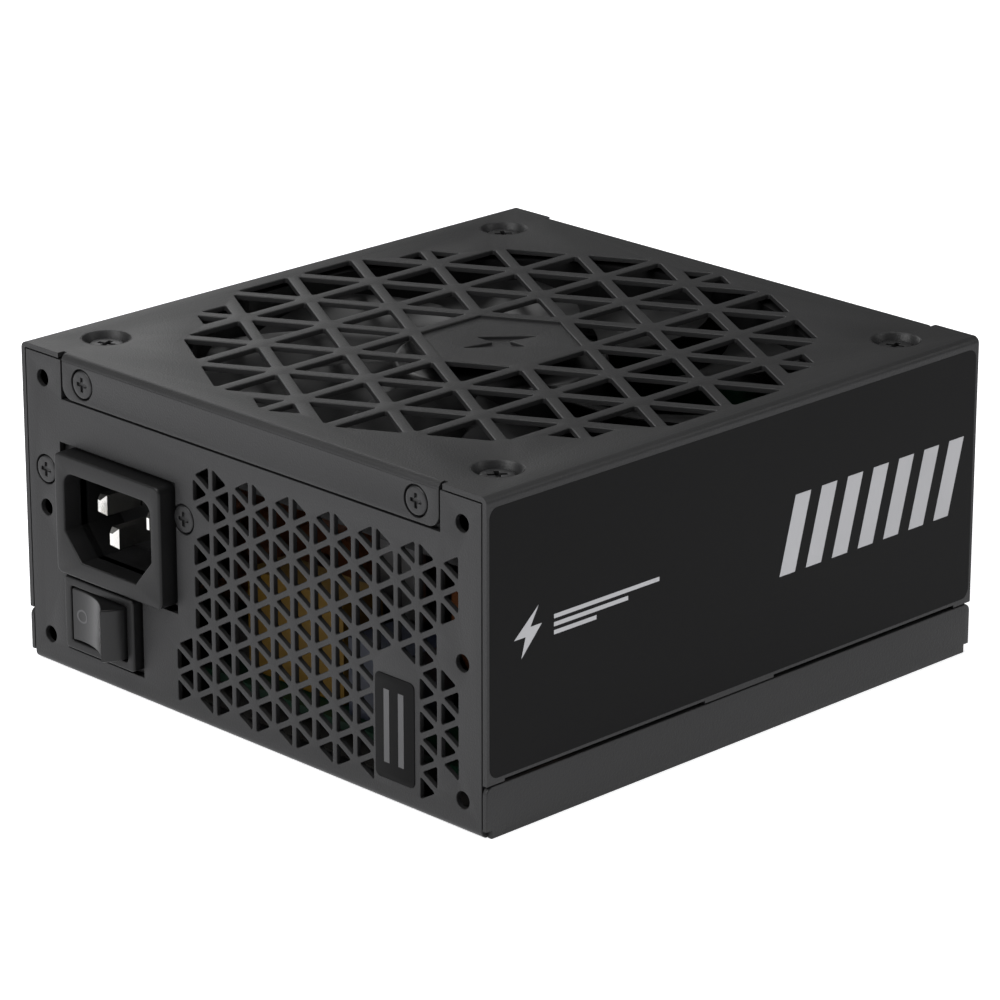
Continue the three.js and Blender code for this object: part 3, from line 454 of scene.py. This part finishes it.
def bent_section(u, v, toward_u, toward_v, length_u, length_v, steps=8):
    """An L-shaped sheet section whose outer corner would be at (u, v)."""
    def at(a, b):
        return Vector((u + toward_u * a, v + toward_v * b))

    angles = [math.pi / 2 * i / steps for i in range(steps + 1)]
    outer = [at(BEND - BEND * math.sin(a), BEND - BEND * math.cos(a)) for a in angles]
    small = BEND - SHEET
    inner = [at(BEND - small * math.sin(a), BEND - small * math.cos(a)) for a in reversed(angles)]
    return [
        at(length_u, 0), *outer, at(0, length_v), at(SHEET, length_v), *inner,
        at(length_u, SHEET),
    ]


# ---- Lattices ----
def lattice_triangle(apex_u, apex_v, side, edge, bar):
    """The opening left between three bars, in a cell whose apex points along side."""
    height = edge * math.sqrt(3) / 2
    half = (height - 1.5 * bar) / height * edge / 2
    base = apex_u - side * (height - bar / 2)
    return [(apex_u - side * bar, apex_v), (base, apex_v + half), (base, apex_v - half)]


def grille_holes():
    """The grille's openings: cells in rings about the hexagon, and slim ones at six corners."""
    edge, bar = GRILLE_EDGE, GRILLE_BAR
    column = edge * math.sqrt(3) / 2
    holes = []
    for k in range(-4, 4):
        for row in range(-8, 9):
            left = (k + row) % 2 == 0
            u = (k + 0.5) * column + (1 if left else -1) * column / 6
            v = row * edge / 2
            reaches = [
                abs(u * math.cos(t * math.pi / 3) + v * math.sin(t * math.pi / 3)) / column
                for t in range(3)
            ]
            ring = math.ceil(max(reaches))
            near_corner = abs((math.atan2(v, u) / (math.pi / 3) + 0.5) % 1 - 0.5) > 0.36
            outermost = ring == GRILLE_RINGS and not near_corner
            if 1 < ring < GRILLE_RINGS or outermost:
                apex = (k if left else k + 1) * column
                holes.append(rounded(lattice_triangle(apex, v, -1 if left else 1, edge, bar), 0.5))
    small = [(bar / 2, 3.15 * edge), (bar / 2, 3.52 * edge), (6.3, 3.335 * edge)]
    for turn in range(6):
        spin = Matrix.Rotation(turn * math.pi / 3, 2)
        for mirror in (1, -1):
            holes.append(rounded([spin @ Vector((mirror * u, v)) for u, v in small], 0.3))
    return holes


def vent_holes():
    """The rear panel's openings, left out beside the inlet, under the badge and at the holes."""
    step = VENT_EDGE * math.sqrt(3) / 2
    holes = []
    for column in range(-1, VENT_COLUMNS):
        for row in range(VENT_ROWS):
            closed = (
                (column == -1 and row < 11) or (column == 0 and row == 3)
                or (column in (9, 10) and row > 6)
                or (column == 12 and (3 < row < 7 or row > 12))
            )
            if closed:
                continue
            left = (column + row) % 2 == 0
            apex = VENT_FIRST + (column if left else column + 1) * step
            z = VENT_TOP - row * VENT_EDGE / 2
            opening = lattice_triangle(apex, z, -1 if left else 1, VENT_EDGE, VENT_BAR)
            holes.append(rounded(opening, 0.28, 2))
    return holes


# ---- Case ----
def screw_places():
    """Where the four fan screws stand."""
    return [(x, y) for x in (-FAN_SCREW, FAN_SCREW) for y in (-FAN_SCREW, FAN_SCREW)]


def top_cover():
    """The folded cover: the grilled top with its screw cups and emblem plate, sides and flanges."""
    bm = bmesh.new()
    outline = [
        (-HALF_X + BEND, -HALF_Y), (-RELIEF_X, -HALF_Y), (-RELIEF_X, -RELIEF_Y),
        (RELIEF_X, -RELIEF_Y), (RELIEF_X, -HALF_Y), (HALF_X - BEND, -HALF_Y),
        (HALF_X - BEND, HALF_Y), (RELIEF_X, HALF_Y), (RELIEF_X, RELIEF_Y),
        (-RELIEF_X, RELIEF_Y), (-RELIEF_X, HALF_Y), (-HALF_X + BEND, HALF_Y),
    ]
    cups = [circle(x, y, 4.75) for x, y in screw_places()]
    flat_radius = GRILLE_EDGE * math.sqrt(3) / 2 - GRILLE_BAR / 2
    hexagon = [
        Matrix.Rotation(math.pi / 6 + i * math.pi / 3, 2)
        @ Vector((flat_radius / math.cos(math.pi / 6), 0))
        for i in range(6)
    ]
    sheet(bm, outline, [*grille_holes(), *cups, hexagon], TOP - SHEET, TOP, rim=0.2)
    for x, y in screw_places():
        cup = [
            (4.7, TOP), (4.35, TOP - 0.35), (3.9, TOP - 2.3), (2.3, TOP - 2.3), (2.3, TOP - 3.2),
            (4.7, TOP - 3.2), (5.1, TOP - 1.4), (4.78, TOP),
        ]
        closed_ring(bm, cup, move(x, y, 0))
    bolt = [(2.6, 8.2), (-5.4, -1.2), (-0.9, -1.2), (-2.6, -8.2), (5.4, 1.4), (0.9, 1.4)]
    plate = [p * 1.03 for p in hexagon]
    sheet(bm, plate, [rounded(bolt, 0.25, 2)], TOP - 1.2, TOP - 0.6, rim=0.15)
    sheet(bm, plate, [], TOP - 1.6, TOP - 1.201)
    for side in (-1, 1):
        section = bent_section(side * HALF_X, TOP, -side, -1, BEND + OVERLAP, TOP - SEAM_RAISED)
        extrusion(bm, section, -HALF_Y, HALF_Y, TO_XZ)
        outer, inner = side * HALF_X, side * (HALF_X - SHEET)
        for y0, y1 in ((-HALF_Y, -60.6), (-9.5, 9), (60.1, HALF_Y)):
            sheet(bm, rect(y0, y1, SEAM_HIGH, SEAM_RAISED + OVERLAP), [], inner, outer, TO_YZ)
    for side in (-1, 1):
        outer = side * HALF_Y
        section = bent_section(outer, TOP, -side, -1, 1.5, BEND + OVERLAP)
        extrusion(bm, section, -FLANGE_X, FLANGE_X, TO_YZ)
        face = rounded_foot(-FLANGE_X, FLANGE_X, FLANGE_LOW, TOP - BEND, 2.6)
        holes = [circle(s * COVER_SCREW_X, COVER_SCREW_Z, 3.05, 32) for s in (-1, 1)]
        sheet(bm, face, holes, outer - side * SHEET, outer, TO_XZ, edge=0.15, rim=0.1)
    piece("cover_sheet", bm, LOOKS["coated_steel"], nodes=["top_cover"])


def rounded_foot(u0, u1, v0, v1, radius):
    """A rectangle with its two lower corners rounded."""
    steps = [math.pi / 2 * i / 8 for i in range(9)]
    arc = [(radius - radius * math.cos(a), radius - radius * math.sin(a)) for a in steps]
    left = [(u0 + across, v0 + up) for across, up in arc]
    right = [(u1 - up, v0 + across) for across, up in arc]
    return [(u0, v1), *left, *right, (u1, v1)]


def bottom_tray():
    """The folded tray: floor, low sides, rear panel with its vents, and the socket panel."""
    bm = bmesh.new()
    half = HALF_X - SHEET - GAP
    top = TOP - SHEET - GAP
    low_edge, tab_x = FLANGE_LOW - 0.4, FLANGE_X - 0.7
    outline = [
        (-half, 2), (half, 2), (half, top),
        (FLANGE_X + 0.4, top), (FLANGE_X + 0.4, low_edge),
        (-FLANGE_X - 0.4, low_edge), (-FLANGE_X - 0.4, top), (-half, top),
    ]
    mounting = [circle(x, z, 1.65, 32) for x in (-MOUNTING_X, MOUNTING_X) for z in MOUNTING_Z]
    sink_radius, edge_x = 2.95, -19.05
    reach = math.acos((edge_x - INLET_SCREW_RIGHT) / sink_radius)
    sink = [
        (INLET_SCREW_RIGHT + sink_radius * math.cos(a), INLET_SCREW_Z + sink_radius * math.sin(a))
        for a in [reach * (i / 12 - 1) for i in range(25)]
    ]
    entry = [
        (-51.2, 4.7), (-29.2, 4.7), (-29.2, 20.3), (edge_x, 20.3), *sink, (edge_x, 45.9),
        (-52, 45.9), (-52, 20.3), (-51.2, 20.3),
    ]
    left_sink = circle(INLET_SCREW_LEFT, INLET_SCREW_Z, sink_radius, 32)
    holes = [*vent_holes(), *mounting, entry, left_sink]
    sheet(bm, outline, holes, -HALF_Y + SHEET, -HALF_Y, TO_XZ, rim=0.14)
    mouths = []
    for name in frame["nodes"]:
        if "_socket_" in name:
            low, high = [Vector(corner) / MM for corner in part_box(name)]
            around = rect(low.x - GAP, high.x + GAP, low.z - GAP, high.z + GAP)
            mouths.append(rounded(around, 0.6, 3))
    sheet(bm, outline, mouths, HALF_Y - SHEET, HALF_Y, TO_XZ, rim=0.18)
    for side in (-1, 1):
        outer = side * HALF_Y
        front, back = outer - side * (SHEET + GAP), outer - side * (2 * SHEET + GAP)
        tab = rect(-tab_x, tab_x, low_edge - 1.2, top)
        taps = [circle(s * COVER_SCREW_X, COVER_SCREW_Z, 1.7, 24) for s in (-1, 1)]
        sheet(bm, tab, taps, back, front, TO_XZ)
        link = rect(-tab_x, tab_x, low_edge - 1.2, low_edge)
        sheet(bm, link, [], front, outer - side * SHEET, TO_XZ)
        extrusion(bm, bent_section(outer, 0, -side, 1, 3, 2.001), -half, half, TO_YZ)
        wall_x = side * HALF_X
        inner = wall_x - side * SHEET
        end = HALF_Y - 1.3
        wall = [
            (-end, 0.0), (end, 0.0), (end, 1.6), (HALF_Y, 1.6), *corner_arc(1), *corner_arc(-1),
            (-HALF_Y, 1.6), (-end, 1.6),
        ]
        sheet(bm, wall, [], inner, wall_x, TO_YZ, edge=0.2)
        tongue = inner - side * GAP
        sheet(bm, rect(-9.2, 8.8, 7.2, 16), [], tongue - side * SHEET, tongue, TO_YZ)
        sheet(bm, rect(-9.2, 8.8, 7.2, 8.8), [], tongue, inner, TO_YZ)
    floor = rect(-HALF_X + SHEET, HALF_X - SHEET, -HALF_Y + 3, HALF_Y - 3)
    sheet(bm, floor, [], 0, SHEET)
    for index in range(1, 5):
        low, high = [Vector(corner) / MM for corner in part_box(f"board_screw_{index}")]
        centre = (low + high) / 2
        ring = [(1.5, 0.5), (3.2, 0.5), (3.2, 5.7), (1.5, 5.7)]
        closed_ring(bm, ring, move(centre.x, centre.y, 0), 24)
    piece("tray_sheet", bm, LOOKS["coated_steel"], nodes=["bottom_tray"])


def corner_arc(side):
    """The rounded upper corner of a tray side wall, at its +Y (1) or -Y (-1) end."""
    radius = 1.5
    centre_y, centre_z = side * (HALF_Y - radius), SEAM_LOW - radius
    arc = [math.pi / 2 * i / 6 for i in range(7)]
    points = [
        (centre_y + side * radius * math.cos(a), centre_z + radius * math.sin(a)) for a in arc
    ]
    return points if side > 0 else points[::-1]


def plus(length, width):
    """A cross with arms of the given width."""
    a, b = length / 2, width / 2
    return [
        (a, -b), (a, b), (b, b), (b, a), (-b, a), (-b, b),
        (-a, b), (-a, -b), (-b, -b), (-b, -a), (b, -a), (b, -b),
    ]


def screw(name, place, head, depth, recess, shank, look="black_screw"):
    """A cross-head screw along local -Z with its head's top at local zero."""
    bm = bmesh.new()
    cross = rounded(plus(*recess), 0.12, 2)
    sheet(bm, circle(0, 0, head), [cross], -depth, 0, place, edge=min(0.5, depth * 0.8), rim=0.08)
    radius, length = shank
    cone = [
        (0, -depth - 0.5), (head * 0.72, -depth - 0.5), (head * 0.9, -depth + OVERLAP),
        (0, -depth + OVERLAP),
    ]
    turned(bm, cone, place)
    stem = [
        (0, -length), (radius * 0.7, -length), (radius, -length + 0.8), (radius, -depth),
        (0, -depth),
    ]
    turned(bm, stem, place, 24)
    piece(name + "_turned", bm, LOOKS[look], nodes=[name])


def screws():
    """The cover's, the inlet's and the fan's screws."""
    recess, shank = (2.8, 0.75), (1.4, 4.2)
    for side, where in ((-1, "rear"), (1, "front")):
        turn = Matrix.Rotation(-side * math.pi / 2, 4, "X")
        for x, hand in ((-COVER_SCREW_X, "left"), (COVER_SCREW_X, "right")):
            place = move(x, side * HALF_Y, COVER_SCREW_Z) @ turn
            screw(f"cover_screw_{where}_{hand}", place, 2.7, 0.4, recess, shank)
    turn = Matrix.Rotation(math.pi / 2, 4, "X")
    for x, hand in ((INLET_SCREW_LEFT, "left"), (INLET_SCREW_RIGHT, "right")):
        place = move(x, -HALF_Y, INLET_SCREW_Z) @ turn
        screw(f"inlet_screw_{hand}", place, 2.65, 0.4, recess, shank)
    for y, where in ((-FAN_SCREW, "rear"), (FAN_SCREW, "front")):
        for x, hand in ((-FAN_SCREW, "left"), (FAN_SCREW, "right")):
            spin = Matrix.Rotation(math.radians(20 if x * y > 0 else -35), 4, "Z")
            place = move(x, y, TOP - FAN_SCREW_DROP) @ spin
            screw(f"fan_screw_{where}_{hand}", place, 3.4, 0.85, (3.6, 0.95), (1.9, 9.4))


# ---- Mains inlet and switch ----
def mouth_outline():
    """The inlet's opening: two rounded corners above and two cut ones below."""
    u0, u1 = INLET_X - MOUTH_WIDTH / 2, INLET_X + MOUTH_WIDTH / 2
    v0, v1 = INLET_Z - MOUTH_HEIGHT / 2, INLET_Z + MOUTH_HEIGHT / 2
    radius = MOUTH_RADIUS
    arc = [math.pi / 2 * i / 8 for i in range(9)]
    right = [(u1 - radius + radius * math.cos(a), v1 - radius + radius * math.sin(a)) for a in arc]
    left = [(u0 + radius - radius * math.sin(a), v1 - radius + radius * math.cos(a)) for a in arc]
    return [
        (u0 + MOUTH_CHAMFER_X, v0), (u1 - MOUTH_CHAMFER_X, v0), (u1, v0 + MOUTH_CHAMFER_Z),
        *right, *left, (u0, v0 + MOUTH_CHAMFER_Z),
    ]


def inlet():
    """The inlet's moulding: nose, body with slots for the blades, and a flange with two ears."""
    bm = bmesh.new()
    nose = rounded(rect(-50.6, -20.4, 21.1, 45.1), 1.5, 8)
    mouth = mouth_outline()
    sheet(bm, nose, [mouth], PANEL_BACK, -67.8, TO_XZ, edge=0.5, rim=0.35)
    core = rounded(rect(-49.5, -21.5, 22.7, 43.5), 1.5, 6)
    sheet(bm, core, [mouth], -54.2, -62.21, TO_XZ)
    blades = ((-42.5, 35.2), (-28.5, 35.2), (INLET_X, 31.15))
    slots = [rect(x - 1.25, x + 1.25, z - 2.25, z + 2.25) for x, z in blades]
    sheet(bm, core, slots, -48, -54.2, TO_XZ)
    flange = rounded(rect(-53.6, -17.6, 21.25, 45.6), 1.2, 4)
    sheet(bm, flange, [mouth], PANEL_BACK, FLANGE_BACK, TO_XZ)
    left_hole = circle(INLET_SCREW_LEFT, INLET_SCREW_Z, 1.7, 24)
    for u0, u1, holes in ((-60.2, -53.4, [left_hole]), (-17.8, -14.2, [])):
        sheet(bm, rect(u0, u1, 35.6, 43.4), holes, PANEL_BACK, FLANGE_BACK, TO_XZ)
    look = "black_plastic"
    piece("inlet_moulding", bm, LOOKS[look], nodes=["inlet_housing"])


def switch():
    """The switch's moulding: bezel, inner flange and body with slots for the contacts."""
    x, z = SWITCH_X, SWITCH_Z
    bm = bmesh.new()
    opening = rounded(rect(x - 8.1, x + 8.1, z - 5.55, z + 5.55), 0.5, 4)
    bezel = rounded(rect(x - 10, x + 10, z - 7.25, z + 7.25), 0.9, 6)
    sheet(bm, bezel, [opening], PANEL_BACK, -66.5, TO_XZ, edge=0.35, rim=0.25)
    flange = rounded(rect(x - 13.2, x + 13.2, 3.4, 20.8), 0.8, 4)
    sheet(bm, flange, [opening], PANEL_BACK, FLANGE_BACK, TO_XZ)
    core = rounded(rect(x - 9.4, x + 9.4, z - 6.6, z + 6.6), 0.6, 4)
    sheet(bm, core, [opening], -56, -62.21, TO_XZ)
    slots = [rect(t - 0.7, t + 0.7, z - 2.7, z + 2.7) for t in (x - 4.5, x + 4.5)]
    sheet(bm, core, slots, -50, -56, TO_XZ)
    look = "black_plastic"
    piece("switch_moulding", bm, LOOKS[look], nodes=["switch_housing"])


ROCKER_RADIUS = 7.65
ROCKER_TIP = math.radians(26.3)
ROCKER_SKIRT = math.radians(-25)
ROCKER_HALF = 5.25
ROCKER_PIVOT = -65.4
ROCKER_REST = math.radians(-18)
ROCKER_HOLLOW = 29
ROCKER_PLACE = (
    move(SWITCH_X, ROCKER_PIVOT, SWITCH_Z)
    @ Matrix.Rotation(ROCKER_REST, 4, "Z")
    @ Matrix.Rotation(math.pi, 4, "X")
)
MARK_SUNK, MARK_PROUD = -0.05, 0.03


def rocker_face(u):
    """The height of the key's hollowed face at u."""
    tip = ROCKER_RADIUS * math.cos(ROCKER_TIP)
    return ROCKER_RADIUS * math.sin(ROCKER_TIP) - (tip ** 2 - u ** 2) / ROCKER_HOLLOW


def rocker():
    """The switch's key with its pivot pin, and the off and on marks printed on it."""
    tip_u = ROCKER_RADIUS * math.cos(ROCKER_TIP)
    arc = [ROCKER_SKIRT + (ROCKER_TIP - ROCKER_SKIRT) * i / 10 for i in range(11)]
    right = [(ROCKER_RADIUS * math.cos(a), ROCKER_RADIUS * math.sin(a)) for a in arc]
    face = [(tip_u * (1 - i / 12), rocker_face(tip_u * (1 - i / 12))) for i in range(1, 24)]
    left = [(-u, v) for u, v in reversed(right)]
    bm = bmesh.new()
    section = [*right, *face, *left]
    for end in (ROCKER_HALF, -ROCKER_HALF):
        sheet(bm, section, [], 0, end, ROCKER_PLACE, edge=0.35)
    turned(bm, [(0, -6.2), (0.6, -6.2), (0.6, 6.2), (0, 6.2)], ROCKER_PLACE, 24)
    look = "rocker_plastic"
    piece("rocker_key", bm, LOOKS[look], body="rocker", nodes=["switch_rocker"])
    marks = bmesh.new()
    ring(marks, -4.45, 0, 1.35, 1.0)
    bar(marks, 2.9, 6.0, 0.22)
    piece("rocker_marks", marks, PRINT_DIM, body="rocker")


def on_face(u, w, lift):
    """A point on the key's face, at u along it and w across, raised by lift."""
    return ROCKER_PLACE @ (Vector((u, rocker_face(u) + lift, w)) * MM)


def ring(bm, u, w, outer, inner, steps=40):
    """The off mark."""
    rings = []
    section = (
        (outer, MARK_SUNK), (outer, MARK_PROUD), (inner, MARK_PROUD), (inner, MARK_SUNK),
    )
    for radius, lift in section:
        rings.append([
            bm.verts.new(on_face(u + radius * 1.1 * math.cos(a), w + radius * math.sin(a), lift))
            for a in [2 * math.pi * i / steps for i in range(steps)]
        ])
    joined(bm, [*rings, rings[0]])


def bar(bm, u0, u1, half, steps=8):
    """The on mark."""
    section = (
        (-half, MARK_SUNK), (half, MARK_SUNK), (half, MARK_PROUD), (-half, MARK_PROUD),
    )
    rings = []
    for i in range(steps + 1):
        u = u0 + (u1 - u0) * i / steps
        rings.append([bm.verts.new(on_face(u, w, lift)) for w, lift in section])
    joined(bm, rings)
    bm.faces.new(rings[0])
    bm.faces.new(rings[-1])


# ---- Fan ----
def fan_rotor():
    """The hub, open below, with its blades."""
    radius, top, bottom, wall = HUB_RADIUS, HUB_TOP, HUB_BOTTOM, HUB_WALL
    corner = 1.2
    bm = bmesh.new()
    round_off = [
        (radius - corner + corner * math.cos(a), top - corner + corner * math.sin(a))
        for a in [math.pi / 2 * i / 5 for i in range(1, 6)]
    ]
    hub = [
        (0, top - 0.9), (2, top - 0.9), (2, top - wall), (radius - wall, top - wall),
        (radius - wall, bottom), (radius, bottom), (radius, top - corner), *round_off, (0, top),
    ]
    turned(bm, hub, steps=72)
    for index in range(BLADES):
        blade(bm, index * 360 / BLADES)
    look = "fan_plastic"
    piece("rotor_moulding", bm, LOOKS[look], body="rotor", nodes=["fan_rotor"])


def blade(bm, start):
    """One blade: a cambered skin on each face, closed round its border."""
    along_steps, across_steps = 14, 10
    skins = []
    for skin in (-0.5, 0.5):
        grid = []
        for i in range(along_steps + 1):
            along = i / along_steps
            row = []
            for j in range(across_steps + 1):
                across = j / across_steps - 0.5
                radius = BLADE_ROOT + along * (BLADE_TIP - BLADE_ROOT)
                angle = math.radians(start + BLADE_SWEEP * along ** 1.6 + across * BLADE_CHORD)
                thin = BLADE_THICKNESS * math.sqrt(max(0.04, 1 - (2 * across) ** 4))
                slope = across * BLADE_PITCH * (1 - 0.25 * along)
                camber = BLADE_CAMBER * (0.25 - across ** 2)
                z = BLADE_MIDDLE - slope + camber + skin * thin
                corner = Vector((radius * math.cos(angle), radius * math.sin(angle), z))
                row.append(bm.verts.new(corner * MM))
            grid.append(row)
        skins.append(grid)
    low, high = skins
    for grid in skins:
        for a, b in zip(grid, grid[1:]):
            for i in range(across_steps):
                bm.faces.new((a[i], a[i + 1], b[i + 1], b[i])).smooth = True
    border = [
        *[(0, j) for j in range(across_steps + 1)],
        *[(i, across_steps) for i in range(1, along_steps + 1)],
        *[(along_steps, j) for j in range(across_steps - 1, -1, -1)],
        *[(i, 0) for i in range(along_steps - 1, 0, -1)],
    ]
    for (i, j), (k, m) in zip(border, border[1:] + border[:1]):
        bm.faces.new((low[i][j], low[k][m], high[k][m], high[i][j])).smooth = True


# ---- Printed areas ----
def label():
    """The film on the right side and its print: a bolt, three thin bars and seven stripes."""
    face, proud = HALF_X, HALF_X + PRINT_LIFT
    bm = bmesh.new()
    film = rounded(rect(-64.3, 64.3, 11.3, 61.4), 2, 6)
    sheet(bm, film, [], face - PRINT_LIFT, face + FILM_LIFT, TO_YZ)
    piece("side_label", bm, LABEL_DARK)
    bm = bmesh.new()
    bolt = [(2.6, 4.5), (-3.4, -0.7), (-0.6, -0.7), (-1.6, -4.5), (3.4, 0.9), (0.6, 0.9)]
    sheet(bm, [(-55 + u, 36.4 + v) for u, v in bolt], [], face, proud, TO_YZ)
    for index in range(3):
        low = 37.3 - 1.5 * index
        line = rect(-48.6, -22 - 8 * index, low, 38.1 - 1.5 * index)
        sheet(bm, line, [], face, proud, TO_YZ)
    for index in range(7):
        y = 10 + index * 7.2
        slant = [(y, 29.6), (y + 4.2, 29.6), (y + 8.2, 44.6), (y + 4.0, 44.6)]
        sheet(bm, slant, [], face, proud, TO_YZ)
    piece("side_print", bm, PRINT_LIGHT)


def badge():
    """The small plate on the rear panel, with two bars."""
    face = -HALF_Y
    bm = bmesh.new()
    plate = rounded(rect(34.3, 44.4, 4.3, 24.3), 1.2, 5)
    sheet(bm, plate, [], face + 0.05, face - 0.15, TO_XZ, edge=0.1)
    piece("rear_badge", bm, LABEL_DARK)
    bm = bmesh.new()
    for x in (37.3, 41.0):
        sheet(bm, rect(x - 0.7, x + 0.7, 7.5, 21.5), [], face - 0.1, face - 0.18, TO_XZ)
    piece("badge_print", bm, PRINT_DIM)


def seam_edges():
    """A bright strip in the middle of each long seam: a painted highlight standing in for the light
    the tab's edge catches behind the gap.
    """
    for side, hand in ((-1, "left"), (1, "right")):
        bm = bmesh.new()
        outer = side * (HALF_X - SHEET - 0.25)
        sheet(bm, rect(-9.0, 8.6, 9.95, 10.15), [], outer - side * 0.5, outer, TO_YZ)
        piece(f"seam_edge_{hand}", bm, EDGE_HIGHLIGHT_PAINT)


# ---- Carried-over pieces, floor and light ----
def colour_frame():
    """Gives every CAD piece the finish of its material slot."""
    slots = {entry["node"]: entry["material_slot"] for entry in frame["record"]["subparts"]}
    for name, node in frame["nodes"].items():
        node.data.materials.clear()
        node.data.materials.append(LOOKS[slots[name]])


def stage():
    """A plain pale floor under soft light."""
    bpy.ops.mesh.primitive_plane_add(size=12)
    floor = bpy.context.object
    floor.name = "floor"
    floor.data.materials.append(finish_of(
        "floor", grey(0.78), grey(0.8),
        rough=0.7, grain=300, bump=0.02, shine=0.2, glow=0.6,
    ))
    world = bpy.data.worlds.new("studio")
    world.use_nodes = True
    sky = world.node_tree.nodes["Background"]
    sky.inputs["Color"].default_value = (1, 1, 1, 1)
    sky.inputs["Strength"].default_value = 0.18
    bpy.context.scene.world = world
    bpy.context.scene.view_settings.view_transform = "Standard"
    lamp("key", (-0.1, -0.55, 0.5), 0.5, 5)
    lamp("overhead", (0.1, 0.1, 1.4), 1.2, 10)
    lamp("gleam", (-0.42, 0.14, 0.27), 0.3, 0.5)
    lamp("edge", (0.7, 0.6, 0.6), 0.3, 2)


def lamp(name, place, size, power):
    """A square light aimed at the middle of the case."""
    data = bpy.data.lights.new(name, "AREA")
    data.size = size
    data.energy = power
    light = bpy.data.objects.new(name, data)
    bpy.context.collection.objects.link(light)
    light.location = place
    light.visible_camera = False
    aim = Vector((0, 0, 0.03)) - Vector(place)
    light.rotation_euler = aim.to_track_quat("-Z", "Y").to_euler()


camera()
colour_frame()
top_cover()
bottom_tray()
screws()
inlet()
switch()
rocker()
fan_rotor()
label()
badge()
seam_edges()
stage()
